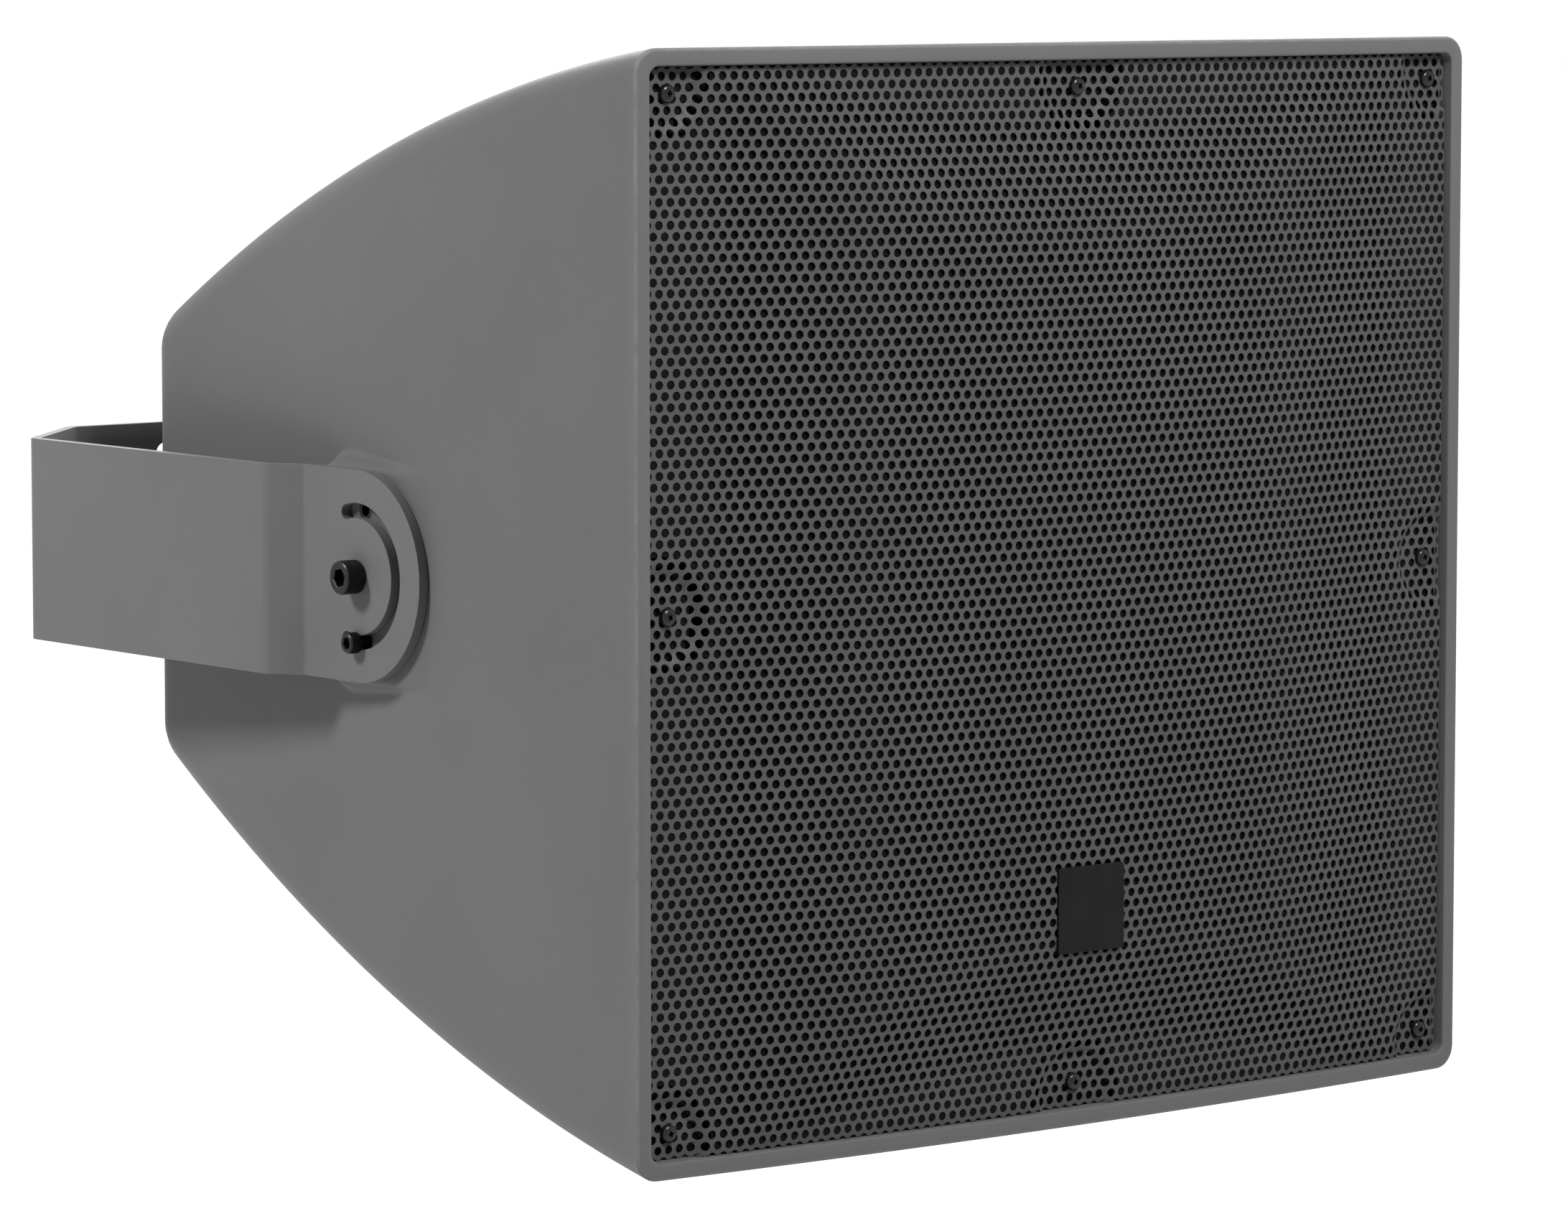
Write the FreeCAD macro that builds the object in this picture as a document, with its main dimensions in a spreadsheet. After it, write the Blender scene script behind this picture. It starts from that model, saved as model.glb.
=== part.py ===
import FreeCAD, Part
import os
import re
import Sketcher

Vector = FreeCAD.Vector
Rotation = FreeCAD.Rotation

# The frame: origin at the wall face of the bracket's web, level with the tilt axis, +Y into the wall,
# +Z up, the grille facing -Y. All lengths are millimetres.
driving = {
    # cabinet moulding
    "front_width": 501,
    "front_height": 500,
    "rear_width": 359,
    "rear_height": 217,
    "cabinet_depth": 490,
    "front_bow": 10.7,
    "top_radius": 1490,
    "shell_wall": 6,
    "edge_radius_front": 11,
    "edge_radius_rear": 20,
    "rear_radius": 18,
    "rim_width": 8,
    "rim_inner_radius": 5,
    "flange_wide": 26,
    "flange_thick": 8,
    "flange_corner": 18,
    "pad_radius": 58,
    "pad_blend": 2,
    "pad_proud": 7.25,
    "boss_radius": 46,
    # bracket strip
    "rear_room": 71.5,
    "pivot_setback": 244,
    "strip_thick": 5,
    "strip_height": 100,
    "ear_straight": 42.5,
    "jog_out": 12,
    "jog_long": 16,
    "corner_in": 57,
    "corner_run": 54.5,
    "bend_radius": 4,
    "ear_gap": 0.3,
    "web_slot_wide": 11,
    "web_slot_long": 40,
    "web_slot_span_x": 224,
    "web_slot_span_z": 68,
    "web_hole": 13,
    # clamp hardware
    "pivot_bolt": 10,
    "pivot_head": 16,
    "pivot_head_long": 10,
    "pivot_socket": 8,
    "lock_screw": 6,
    "lock_head": 10,
    "lock_head_long": 6,
    "lock_socket": 5,
    "lock_orbit": 31,
    "lock_slot_half_angle": 106,
    "bolt_clearance": 0.5,
    "thread_clearance": 0.05,
    "bolt_grip": 18,
    "pivot_insert": 16,
    "pivot_insert_long": 24,
    "lock_insert": 10,
    "lock_insert_long": 20,
    # grille
    "grille_recess": 3,
    "grille_thick": 1.5,
    "grille_clearance": 0.8,
    "seat_deep": 3.5,
    "seat_radius": 19,
    "seat_flank": 4,
    "seat_outset": 5,
    "grille_screw_inset": 20.5,
    "grille_screw": 4,
    "grille_screw_long": 9,
    "grille_head": 8.4,
    "grille_head_high": 3,
    "grille_insert": 7,
    "panel_raise": 8.8,
    "panel_radius": 1556,
    "panel_base_x": 193,
    "panel_base_z": 206,
    "panel_flank_x": 6.63,
    "panel_flank_z": 5,
    "foam_thick": 3,
    "foam_clearance": 0.2,
    "badge_side": 40,
    "badge_thick": 1.2,
    "badge_drop": 147.5,
    "badge_corner": 2,
    # baffle and woofer
    "baffle_setback": 60,
    "baffle_thick": 18,
    "woofer_radius": 156,
    "woofer_cutout": 143,
    "basket_throat": 142,
    "basket_rear": 90,
    "basket_depth": 66,
    "basket_wall": 4,
    "basket_plate": 6,
    "flange_high": 6,
    "flange_lip": 134,
    "spider_seat": 56,
    "spider_seat_wide": 10,
    "spider_thick": 1,
    "window_inner": 94,
    "window_outer": 128,
    "window_angle": 40,
    "woofer_screw_orbit": 150,
    "woofer_screw": 5,
    "woofer_head": 9,
    "woofer_head_high": 3.5,
    "woofer_screw_long": 20,
    "gasket_wide": 9,
    "gasket_high": 3,
    "cone_rim": 118,
    "cone_edge": 112,
    "cone_thick": 1.5,
    "cone_neck": 50,
    "surround_thick": 0.8,
    "coil_radius": 38,
    "former_thick": 0.6,
    "former_long": 44,
    "winding_thick": 0.9,
    "winding_long": 16,
    "coil_clearance": 0.7,
    "bond_clearance": 0.05,
    "top_plate_thick": 8,
    "plate_radius": 75,
    "magnet_radius": 90,
    "magnet_bore": 48,
    "magnet_thick": 20,
    "back_plate_thick": 8,
    "throat_bore": 18,
    "horn_wall": 2.5,
    "horn_mouth": 60,
    "horn_front": 4,
    "horn_foot": 32,
    "tweeter_radius": 55,
    "tweeter_long": 42,
    "tweeter_cap_radius": 46,
    "tweeter_cap_long": 8,
    # rear connection plate
    "plate_wide": 130,
    "plate_high": 90,
    "plate_thick": 3,
    "plate_corner": 6,
    "plate_gasket": 1.5,
    "port_wide": 104,
    "port_high": 64,
    "plate_screw": 4,
    "plate_screw_long": 9,
    "plate_head": 8,
    "plate_head_high": 2.6,
    "gland_thread": 20,
    "gland_hex": 24,
    "gland_collar": 6,
    "gland_nut_long": 18,
    "gland_bore": 11,
    "gland_tail": 10,
    "gland_locknut": 5,
    # crossover and transformer
    "board_wide": 98,
    "board_high": 58,
    "board_thick": 1.6,
    "standoff_long": 16,
    "standoff_radius": 3.5,
    "standoff_inset": 6,
    "board_screw": 3,
    "coil_outer": 15,
    "coil_inner": 7,
    "coil_high": 16,
    "capacitor_radius": 7,
    "capacitor_long": 28,
    "resistor_long": 28,
    "resistor_side": 9,
    "terminal_wide": 24,
    "terminal_side": 11,
    "core_wide": 78,
    "core_high": 66,
    "core_stack": 36,
    "limb_wide": 22,
    "yoke_thick": 12,
    "winding_out": 9,
    "core_offset": 106,
    "core_standoff": 14,
    "foot_thick": 2,
    "foot_long": 16,
    "foot_high": 40,
    "foot_boss": 8,
    "foot_screw": 5,
}

doc = FreeCAD.newDocument("installation_speaker")
dims = doc.addObject("Spreadsheet::Sheet", "dims")
for row, (alias, size) in enumerate(driving.items(), 1):
    dims.set("A%d" % row, alias)
    dims.set("B%d" % row, str(size))
    dims.setAlias("B%d" % row, alias)
doc.recompute()

pieces = []


def tied(text):
    return re.sub(r"[a-z][a-z_]*", lambda m: "dims." + m[0] if m[0] in driving else m[0], text)


def number(text):
    return float(dims.evalExpression(tied(text)))


def bind(item, **sizes):
    for prop, text in sizes.items():
        item.setExpression(prop, tied(text))


turns = {
    "x": Rotation(Vector(0, 1, 0), 90),
    "y": Rotation(Vector(1, 0, 0), -90),
    "z": Rotation(),
}


def place(item, x, y, z, axis="z", spin=0):
    turn = Rotation(Vector(0, 1, 0), spin) * turns[axis]
    item.Placement = FreeCAD.Placement(Vector(number(x), number(y), number(z)), turn)
    for letter, text in zip("xyz", (x, y, z)):
        item.setExpression("Placement.Base." + letter, tied(text))
    return item


def cylinder(name, radius, long, x="0", y="0", z="0", axis="y", angle="360", spin=0):
    item = doc.addObject("Part::Cylinder", name)
    bind(item, Radius=radius, Height=long, Angle=angle)
    return place(item, x, y, z, axis, spin)


def cone(name, first, last, long, x="0", y="0", z="0", axis="y"):
    item = doc.addObject("Part::Cone", name)
    bind(item, Radius1=first, Radius2=last, Height=long)
    return place(item, x, y, z, axis)


def hexagon(name, across, long, x="0", y="0", z="0", axis="y"):
    item = doc.addObject("Part::Prism", name)
    item.Polygon = 6
    bind(item, Circumradius="(%s) / 2 / cos(30)" % across, Height=long)
    return place(item, x, y, z, axis)


def box(name, wide, deep, high, x="0", y="0", z="0"):
    # centred on x and z, starting at y and running towards +Y
    item = doc.addObject("Part::Box", name)
    bind(item, Length=wide, Width=deep, Height=high)
    return place(item, "(%s) - (%s) / 2" % (x, wide), y, "(%s) - (%s) / 2" % (z, high))


def fuse(name, *items):
    item = doc.addObject("Part::MultiFuse", name)
    item.Shapes = list(items)
    return item


def common(name, *items):
    item = doc.addObject("Part::MultiCommon", name)
    item.Shapes = list(items)
    return item


def cut(name, base, *tools):
    item = doc.addObject("Part::Cut", name)
    item.Base = base
    item.Tool = tools[0] if len(tools) == 1 else fuse(name + "_tools", *tools)
    return item


def rounded(name, base, radius, chosen):
    # chosen(edge) picks the edges; radius gives one size, or the sizes at the front and rear ends
    doc.recompute()
    front, rear = radius if isinstance(radius, tuple) else (radius, radius)
    edges = []
    for index, edge in enumerate(base.Shape.Edges, 1):
        if chosen(edge):
            ends = (number(front), number(rear))
            if edge.Vertexes[0].Y > edge.Vertexes[-1].Y:
                ends = (ends[1], ends[0])
            edges.append((index, ends[0], ends[1]))
    item = doc.addObject("Part::Fillet", name)
    item.Base = base
    item.Edges = edges
    return item


def group(label, items):
    item = doc.addObject("Part::Compound", label)
    item.Links = items
    return piece(item, label)


def piece(item, label):
    item.Label = label
    pieces.append(item)
    return item


def draw(sketch, corners):
    points = [Vector(number(u), number(v), 0) for u, v in corners]
    count = len(points)
    for index in range(count):
        sketch.addGeometry(Part.LineSegment(points[index], points[(index + 1) % count]), False)
    for index in range(count):
        sketch.addConstraint(Sketcher.Constraint("Coincident", index, 2, (index + 1) % count, 1))
    for index, corner in enumerate(corners):
        values = (points[index].x, points[index].y)
        for kind, text, value in zip(("DistanceX", "DistanceY"), corner, values):
            rule = sketch.addConstraint(Sketcher.Constraint(kind, -1, 1, index, 1, value))
            sketch.setExpression("Constraints[%d]" % rule, tied(text))


def body_sketch(body, role, name, corners):
    sketch = body.newObject("Sketcher::SketchObject", name)
    plane = [item for item in body.Origin.OriginFeatures if item.Role == role][0]
    sketch.AttachmentSupport = [(plane, "")]
    sketch.MapMode = "FlatFace"
    draw(sketch, corners)
    return sketch


def plan_pad(name, corners, high):
    # an outline in plan, padded evenly above and below the tilt axis
    body = doc.addObject("PartDesign::Body", name)
    sketch = body_sketch(body, "XY_Plane", name + "_plan", corners)
    pad = body.newObject("PartDesign::Pad", name + "_pad")
    pad.Profile = sketch
    pad.Midplane = True
    pad.setExpression("Length", tied(high))
    return body


def turned(label, corners):
    # a profile of radius and distance along the speaker's axis, turned about that axis
    body = doc.addObject("PartDesign::Body", label + "_body")
    sketch = body_sketch(body, "XY_Plane", label + "_profile", corners)
    turn = body.newObject("PartDesign::Revolution", label + "_turn")
    turn.Profile = sketch
    turn.ReferenceAxis = (sketch, ["V_Axis"])
    turn.Angle = 360
    return body


def side_cylinder(name, side, radius, near, far, y, z="0"):
    # a round pin along X on one side, from |x| = near to |x| = far
    start = near if side > 0 else "0 - (%s)" % far
    return cylinder(name, radius, "(%s) - (%s)" % (far, near), start, y, z, "x")


def side_hexagon(name, side, across, near, far, y, z="0"):
    start = near if side > 0 else "0 - (%s)" % far
    return hexagon(name, across, "(%s) - (%s)" % (far, near), start, y, z, "x")


# Stations along Y
front_y = "(0 - cabinet_depth - rear_room)"
rear_y = "(%s + cabinet_depth)" % front_y
pivot_y = "(%s + pivot_setback)" % front_y
bow_radius = "((pow(front_width / 2; 2) + pow(front_bow; 2)) / 2 / front_bow)"
side_slope = "((front_width - rear_width) / 2 / cabinet_depth)"
height_drop = "((front_height - rear_height) / 2)"
top_chord = "sqrt(pow(cabinet_depth; 2) + pow(%s; 2))" % height_drop
top_sink = "sqrt(pow(top_radius; 2) - pow(%s; 2) / 4)" % top_chord
top_centre_y = "(%s + cabinet_depth / 2 - %s * %s / %s)" % (front_y, top_sink, height_drop, top_chord)
top_centre_z = "((front_height + rear_height) / 4 - %s * cabinet_depth / %s)" % (top_sink, top_chord)
flange_recess = "(grille_recess + seat_deep + grille_thick)"
pad_face = "(front_width / 2 - %s * pivot_setback + pad_proud)" % side_slope
ear_face = "(%s + ear_gap + strip_thick)" % pad_face


def bow_solid(name, setback):
    # all that lies behind the bowed front surface moved back by setback
    centre = "%s - front_bow + %s + (%s)" % (front_y, bow_radius, setback)
    return cylinder(name, bow_radius, "front_height * 1.2", "0", centre, "0 - front_height * 0.6", "z")


def square_prism(name, side, corner, start, deep):
    block = box(name + "_block", side, deep, side, "0", start)
    return rounded(name, block, corner, lambda edge: edge.BoundBox.YLength > number(deep) / 2)


def cabinet_form(name, inset, front_setback, ends, rear_radius):
    # tapering sides in plan, arched top and bottom, bowed front, rounded long and rear edges
    front = "%s - 2 * front_bow" % front_y
    front_half = "(front_width / 2 + 2 * front_bow * %s - (%s))" % (side_slope, inset)
    rear = "%s - (%s)" % (rear_y, inset)
    rear_half = "(rear_width / 2 + (%s) * %s - (%s))" % (inset, side_slope, inset)
    corners = [
        ("0 - " + front_half, front),
        (front_half, front),
        (rear_half, rear),
        ("0 - " + rear_half, rear),
    ]
    plan = plan_pad(name + "_sides", corners, "front_height - 2 * (%s)" % inset)
    arches = []
    for side in ("top", "bottom"):
        height = top_centre_z if side == "top" else "0 - %s" % top_centre_z
        arches.append(
            cylinder(
                name + "_" + side, "top_radius - (%s)" % inset, "front_width * 1.2",
                "0 - front_width * 0.6", top_centre_y, height, "x",
            )
        )
    raw = common(name + "_raw", plan, *arches, bow_solid(name + "_bow", front_setback))
    half = number("cabinet_depth") / 2
    long_edges = rounded(name + "_edges", raw, ends, lambda edge: edge.BoundBox.YLength > half)
    rear_value = number(rear)
    return rounded(
        name, long_edges, rear_radius,
        lambda edge: edge.BoundBox.YLength < 0.01 and abs(edge.BoundBox.YMin - rear_value) < 0.01,
    )


# Cabinet shell
outer = cabinet_form("outer", "0", "0", ("edge_radius_front", "edge_radius_rear"), "rear_radius")
cavity_front = "(%s + flange_thick)" % flange_recess
cavity = cabinet_form(
    "cavity", "shell_wall", cavity_front,
    ("edge_radius_front - shell_wall", "edge_radius_rear - shell_wall"), "rear_radius - shell_wall",
)
rear_inside = "(%s - shell_wall)" % rear_y
recess_start = "%s - 3 * front_bow" % front_y
grille_open = "(front_width - 2 * rim_width)"
mouth = cut(
    "mouth",
    square_prism("mouth_prism", grille_open, "rim_inner_radius", recess_start, "6 * front_bow"),
    bow_solid("mouth_floor", flange_recess),
)
flange_open = "(%s - 2 * flange_wide)" % grille_open
flange_hole = square_prism("flange_hole", flange_open, "flange_corner", recess_start, "6 * front_bow")

lock_heights = ("lock_orbit", "0 - lock_orbit")
pads = []
bosses = []
sockets = []
for side in (-1, 1):
    hand = "left" if side < 0 else "right"
    pad = side_cylinder("pad_" + hand, side, "pad_radius", "rear_width / 2", pad_face, pivot_y)
    limit = number(pad_face)
    pads.append(
        rounded("pad_edge_" + hand, pad, "pad_blend",
                lambda edge: abs(abs(edge.BoundBox.XMin) - limit) < 0.01 and edge.BoundBox.XLength < 0.01)
    )
    depth = "%s - pivot_insert_long" % pad_face
    bosses.append(
        side_cylinder("boss_" + hand, side, "boss_radius", depth + " - 4 * thread_clearance", pad_face,
                      pivot_y)
    )
    sockets.append(
        side_cylinder("pivot_socket_" + hand, side, "pivot_insert / 2 + thread_clearance", depth,
                      pad_face + " + 1", pivot_y)
    )
    for index, height in enumerate(lock_heights):
        sockets.append(
            side_cylinder("lock_socket_%s_%d" % (hand, index), side,
                          "lock_insert / 2 + thread_clearance",
                          pad_face + " - lock_insert_long", pad_face + " + 1", pivot_y, height)
        )
hollow = cut("hollow", cavity, *bosses)

port = box("port", "port_wide", "4 * shell_wall", "port_high", "0", "%s - 3 * shell_wall" % rear_y)
plate_screw_places = [
    (x, z)
    for z in ("(port_high + plate_high) / 4", "0 - (port_high + plate_high) / 4")
    for x in ("0 - (port_wide + plate_wide) / 4", "0", "(port_wide + plate_wide) / 4")
]
plate_holes = [
    cylinder("plate_hole_%d" % index, "plate_screw / 2 + thread_clearance", "4 * shell_wall", x,
             "%s - 3 * shell_wall" % rear_y, z)
    for index, (x, z) in enumerate(plate_screw_places)
]
screw_run = "(front_width / 2 - grille_screw_inset)"
grille_places = [
    (a, b)
    for a in (-1, 0, 1)
    for b in (-1, 0, 1)
    if a or b
]


def signed(sign, text):
    return {-1: "(0 - %s)" % text, 0: "0", 1: "%s" % text}[sign]


def bow_at(x):
    # how far the bowed front surface stands behind the front's side edges at x
    return "(%s - front_bow + %s - sqrt(pow(%s; 2) - pow(%s; 2)))" % (front_y, bow_radius, bow_radius, x)


def seat_cone(name, a, b, setback):
    # the flaring hollow of one screw seat, its floor square to the screw
    floor = "%s + grille_recess + seat_deep + (%s)" % (bow_at(signed(a, screw_run)), setback)
    x = signed(a, "(%s + seat_outset)" % screw_run)
    z = signed(b, "(%s + seat_outset)" % screw_run)
    rise = "3 * seat_deep"
    return cone("%s_seat_%d%d" % (name, a, b), "seat_radius + 3 * seat_flank", "seat_radius", rise, x,
                "%s - %s" % (floor, rise), z)


seat_pockets = [seat_cone("pocket", a, b, "grille_thick + bond_clearance") for a, b in grille_places]
insert_holes = [
    cylinder("grille_socket_%d%d" % (a, b), "grille_insert / 2 + thread_clearance", "flange_thick + 8",
             signed(a, screw_run), bow_at(signed(a, screw_run)) + " + grille_recess",
             signed(b, screw_run))
    for a, b in grille_places
]
foot_x = "(core_wide / 2 + foot_thick + foot_long / 2)"
foot_places = ["(0 - core_offset) - %s" % foot_x, "(0 - core_offset) + %s" % foot_x]
foot_bosses = []
foot_holes = []
for index, x in enumerate(foot_places):
    start = "%s - foot_boss" % rear_inside
    foot_bosses.append(cylinder("foot_boss_%d" % index, "foot_long / 2", "foot_boss + shell_wall / 2",
                                x, start))
    foot_holes.append(
        cylinder("foot_hole_%d" % index, "foot_screw / 2 + thread_clearance",
                 "foot_boss + shell_wall / 4", x, start)
    )
walls = cut("walls", fuse("moulding", outer, *pads), hollow, mouth, flange_hole)
shell = cut("shell", fuse("shell_bosses", walls, *foot_bosses), *sockets, port, *plate_holes,
            *seat_pockets, *insert_holes, *foot_holes)
piece(shell, "cabinet_shell")

# Bracket: one strip folded through ear, jog, arm, corner and web
ear_front = "(%s - strip_height / 2)" % pivot_y
jog_start = "(%s + ear_straight)" % pivot_y
jog_end = "(%s + jog_long)" % jog_start
arm_end = "(0 - corner_run)"
arm_face = "(%s + jog_out)" % ear_face
web_half = "(%s - corner_in)" % arm_face
jog_mitre = "strip_thick * tan(atan(jog_out / jog_long) / 2)"
corner_mitre = "strip_thick * tan(atan(corner_in / (0 - %s)) / 2)" % arm_end
web_mitre = "strip_thick * tan(atan((0 - %s) / corner_in) / 2)" % arm_end
outer_line = [
    (ear_face, ear_front),
    (ear_face, jog_start),
    (arm_face, jog_end),
    (arm_face, arm_end),
    (web_half, "0"),
]
inner_line = [
    (ear_face + " - strip_thick", ear_front),
    (ear_face + " - strip_thick", "%s + %s" % (jog_start, jog_mitre)),
    (arm_face + " - strip_thick", "%s + %s" % (jog_end, jog_mitre)),
    (arm_face + " - strip_thick", "%s - %s" % (arm_end, corner_mitre)),
    ("%s - %s" % (web_half, web_mitre), "0 - strip_thick"),
]


def mirrored(line):
    return [("0 - (%s)" % x, y) for x, y in line]


strip_outline = outer_line + mirrored(outer_line)[::-1] + mirrored(inner_line) + inner_line[::-1]
strip = plan_pad("strip", strip_outline, "strip_height")
inner_folds = [(abs(number(x)), number(y)) for x, y in inner_line[1:]]
outer_folds = [(abs(number(x)), number(y)) for x, y in outer_line[1:]]


def folds(places):
    def chosen(edge):
        spot = edge.CenterOfMass
        near = [1 for x, y in places if abs(abs(spot.x) - x) < 0.01 and abs(spot.y - y) < 0.01]
        return edge.BoundBox.ZLength > number("strip_height") - 0.01 and bool(near)
    return chosen


hollow_side = [inner_folds[1], inner_folds[2], inner_folds[3], outer_folds[0]]
outer_side = [inner_folds[0], outer_folds[1], outer_folds[2], outer_folds[3]]
strip_inside = rounded("strip_inside", strip, "bend_radius", folds(hollow_side))
strip_bent = rounded("strip_bent", strip_inside, "bend_radius + strip_thick", folds(outer_side))
rounding = fuse(
    "ear_rounding",
    box("arm_zone", "2 * %s + 2" % arm_face, "0 - %s + 1" % pivot_y, "strip_height + 1", "0", pivot_y),
    cylinder("ear_zone", "strip_height / 2", "2 * %s + 2" % arm_face, "0 - %s - 1" % arm_face, pivot_y,
             "0", "x"),
)
through = "(2 * %s + 2)" % arm_face
through_start = "0 - %s - 1" % arm_face
slot_half = "(lock_screw / 2 + bolt_clearance)"
pivot_hole = cylinder("pivot_hole", "pivot_bolt / 2 + bolt_clearance", through, through_start, pivot_y,
                      "0", "x")
slot_ring = cut(
    "slot_ring",
    cylinder("slot_outside", "lock_orbit + " + slot_half, through, through_start, pivot_y, "0", "x",
             "2 * lock_slot_half_angle"),
    cylinder("slot_inside", "lock_orbit - " + slot_half, through, through_start, pivot_y, "0", "x"),
)
slot_ring.Placement = FreeCAD.Placement(
    Vector(), Rotation(Vector(1, 0, 0), 270 - number("lock_slot_half_angle")),
    Vector(0, number(pivot_y), 0)
)
slot_ends = [
    cylinder("slot_end_%d" % index, slot_half, through, through_start,
             "%s - lock_orbit * cos(lock_slot_half_angle)" % pivot_y,
             "%s lock_orbit * sin(lock_slot_half_angle)" % sign, "x")
    for index, sign in enumerate(("0 +", "0 -"))
]
web_start = "0 - 3 * strip_thick"
web_run = "4 * strip_thick"
web_cuts = [cylinder("web_hole_cut", "web_hole / 2", web_run, "0", web_start)]
for a in (-1, 1):
    for b in (-1, 1):
        name = "web_slot_%s%s" % ("left" if a < 0 else "right", "_low" if b < 0 else "_high")
        x = signed(a, "web_slot_span_x / 2")
        z = signed(b, "web_slot_span_z / 2")
        run = "(web_slot_long - web_slot_wide)"
        web_cuts.append(box(name + "_mid", run, web_run, "web_slot_wide", x, web_start, z))
        for end in (-1, 1):
            spot = "%s + %s" % (x, signed(end, run + " / 2"))
            web_cuts.append(
                cylinder("%s_end_%d" % (name, end), "web_slot_wide / 2", web_run, spot, web_start, z)
            )
bracket = cut("bracket_cut", common("strip_round", strip_bent, rounding), pivot_hole, slot_ring,
              *slot_ends,
              *web_cuts)
piece(bracket, "bracket")


# Clamp bolts and their threaded inserts
def cap_bolt(name, side, bolt, head, head_long, socket, z):
    seat = "%s + ear_gap" % ear_face
    top = "%s + %s" % (seat, head_long)
    tip = "%s - bolt_grip" % pad_face
    solid = fuse(
        name + "_solid",
        side_cylinder(name + "_head", side, head + " / 2", seat, top, pivot_y, z),
        side_cylinder(name + "_shank", side, bolt + " / 2", tip, seat, pivot_y, z),
    )
    key = side_hexagon(name + "_key", side, socket, "%s - %s / 2" % (top, head_long), top + " + 1",
                       pivot_y, z)
    return cut(name, solid, key)


def insert(name, side, outside, bolt, long, z):
    near = "%s - %s" % (pad_face, long)
    sleeve = side_cylinder(name + "_sleeve", side, outside + " / 2", near, pad_face, pivot_y, z)
    bore = side_cylinder(name + "_bore", side, bolt + " / 2 + thread_clearance", near + " + 1",
                         pad_face + " + 1",
                         pivot_y, z)
    return cut(name, sleeve, bore)


pivot_bolts = []
lock_screws = []
pivot_inserts = []
lock_inserts = []
for side in (-1, 1):
    hand = "left" if side < 0 else "right"
    pivot_bolts.append(
        cap_bolt("pivot_bolt_" + hand, side, "pivot_bolt", "pivot_head", "pivot_head_long",
                 "pivot_socket", "0")
    )
    lock_screws.append(
        cap_bolt("lock_screw_" + hand, side, "lock_screw", "lock_head", "lock_head_long", "lock_socket",
                 "0 - lock_orbit")
    )
    pivot_inserts.append(
        insert("pivot_insert_" + hand, side, "pivot_insert", "pivot_bolt", "pivot_insert_long", "0")
    )
    for index, height in enumerate(lock_heights):
        lock_inserts.append(
            insert("lock_insert_%s_%d" % (hand, index), side, "lock_insert", "lock_screw",
                   "lock_insert_long", height)
        )
group("pivot_bolts", pivot_bolts)
group("lock_screws", lock_screws)
group("pivot_inserts", pivot_inserts)
group("lock_inserts", lock_inserts)


# Grille: a bowed sheet with a raised panel and pressed seats for its screws
def panel_solid(name, setback):
    # the raised panel: four sloping flanks closed in front by a wider bow
    front_plane = "(%s - 2 * panel_raise - front_bow + grille_recess + (%s))" % (front_y, setback)
    deep = "(2 * panel_raise + front_bow)"
    base_x_drop = "(front_bow * (1 - pow(panel_base_x / (front_width / 2); 2)))"
    back_x = "(panel_base_x + %s * panel_flank_x)" % base_x_drop
    back_z = "(panel_base_z + front_bow * panel_flank_z)"
    flanks = doc.addObject("Part::Wedge", name + "_flanks")
    bind(
        flanks, Ymin="0", Ymax=deep,
        Xmin="0 - %s + %s * panel_flank_x" % (back_x, deep),
        Xmax="%s - %s * panel_flank_x" % (back_x, deep),
        Zmin="0 - %s + %s * panel_flank_z" % (back_z, deep),
        Zmax="%s - %s * panel_flank_z" % (back_z, deep),
        X2min="0 - " + back_x, X2max=back_x, Z2min="0 - " + back_z, Z2max=back_z,
    )
    place(flanks, "0", front_plane, "0")
    crown = cylinder(
        name + "_crown", "panel_radius", "front_height", "0",
        "%s - front_bow + grille_recess - panel_raise + panel_radius + (%s)" % (front_y, setback),
        "0 - front_height / 2", "z",
    )
    return common(name, flanks, crown)


def grille_form(name, setback, seats):
    # everything behind the grille's front face when the sheet is moved back by setback
    side = "%s - 2 * grille_clearance" % grille_open
    prism = square_prism(name + "_prism", side, "rim_inner_radius - grille_clearance",
                         "%s - 3 * panel_raise - front_bow" % front_y, "6 * panel_raise + 2 * front_bow")
    sheet = common(name + "_sheet", prism, bow_solid(name + "_bow", "grille_recess + (%s)" % setback))
    whole = fuse(name + "_whole", sheet,
                 common(name + "_panel_trim", prism, panel_solid(name + "_panel", setback)))
    if not seats:
        return whole
    presses = [seat_cone(name, a, b, setback) for a, b in grille_places]
    return cut(name, whole, *presses)


grille_holes = [
    cylinder("grille_hole_%d%d" % (a, b), "grille_screw / 2 + bolt_clearance / 2",
             "8 * grille_thick + 20",
             signed(a, screw_run), bow_at(signed(a, screw_run)) + " - 10", signed(b, screw_run))
    for a, b in grille_places
]
grille = cut("grille_cut", grille_form("grille_face", "0", True),
             grille_form("grille_back", "grille_thick", True),
             *grille_holes)
piece(grille, "grille")


def pan_screw(name, thread, long, head, head_high, x, seat, z):
    # a screw driven towards +Y with its head in front of the seat
    step = "(%s) / 2" % head_high
    return fuse(
        name,
        cylinder(name + "_shank", thread + " / 2", "%s + %s" % (long, step), x,
                 "%s - %s" % (seat, step), z),
        cylinder(name + "_rim", head + " / 2", step, x, "%s - %s" % (seat, step), z),
        cone(name + "_dome", "(%s) / 3" % head, "(%s) / 2" % head, step, x,
             "%s - 2 * %s" % (seat, step), z),
    )


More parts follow.
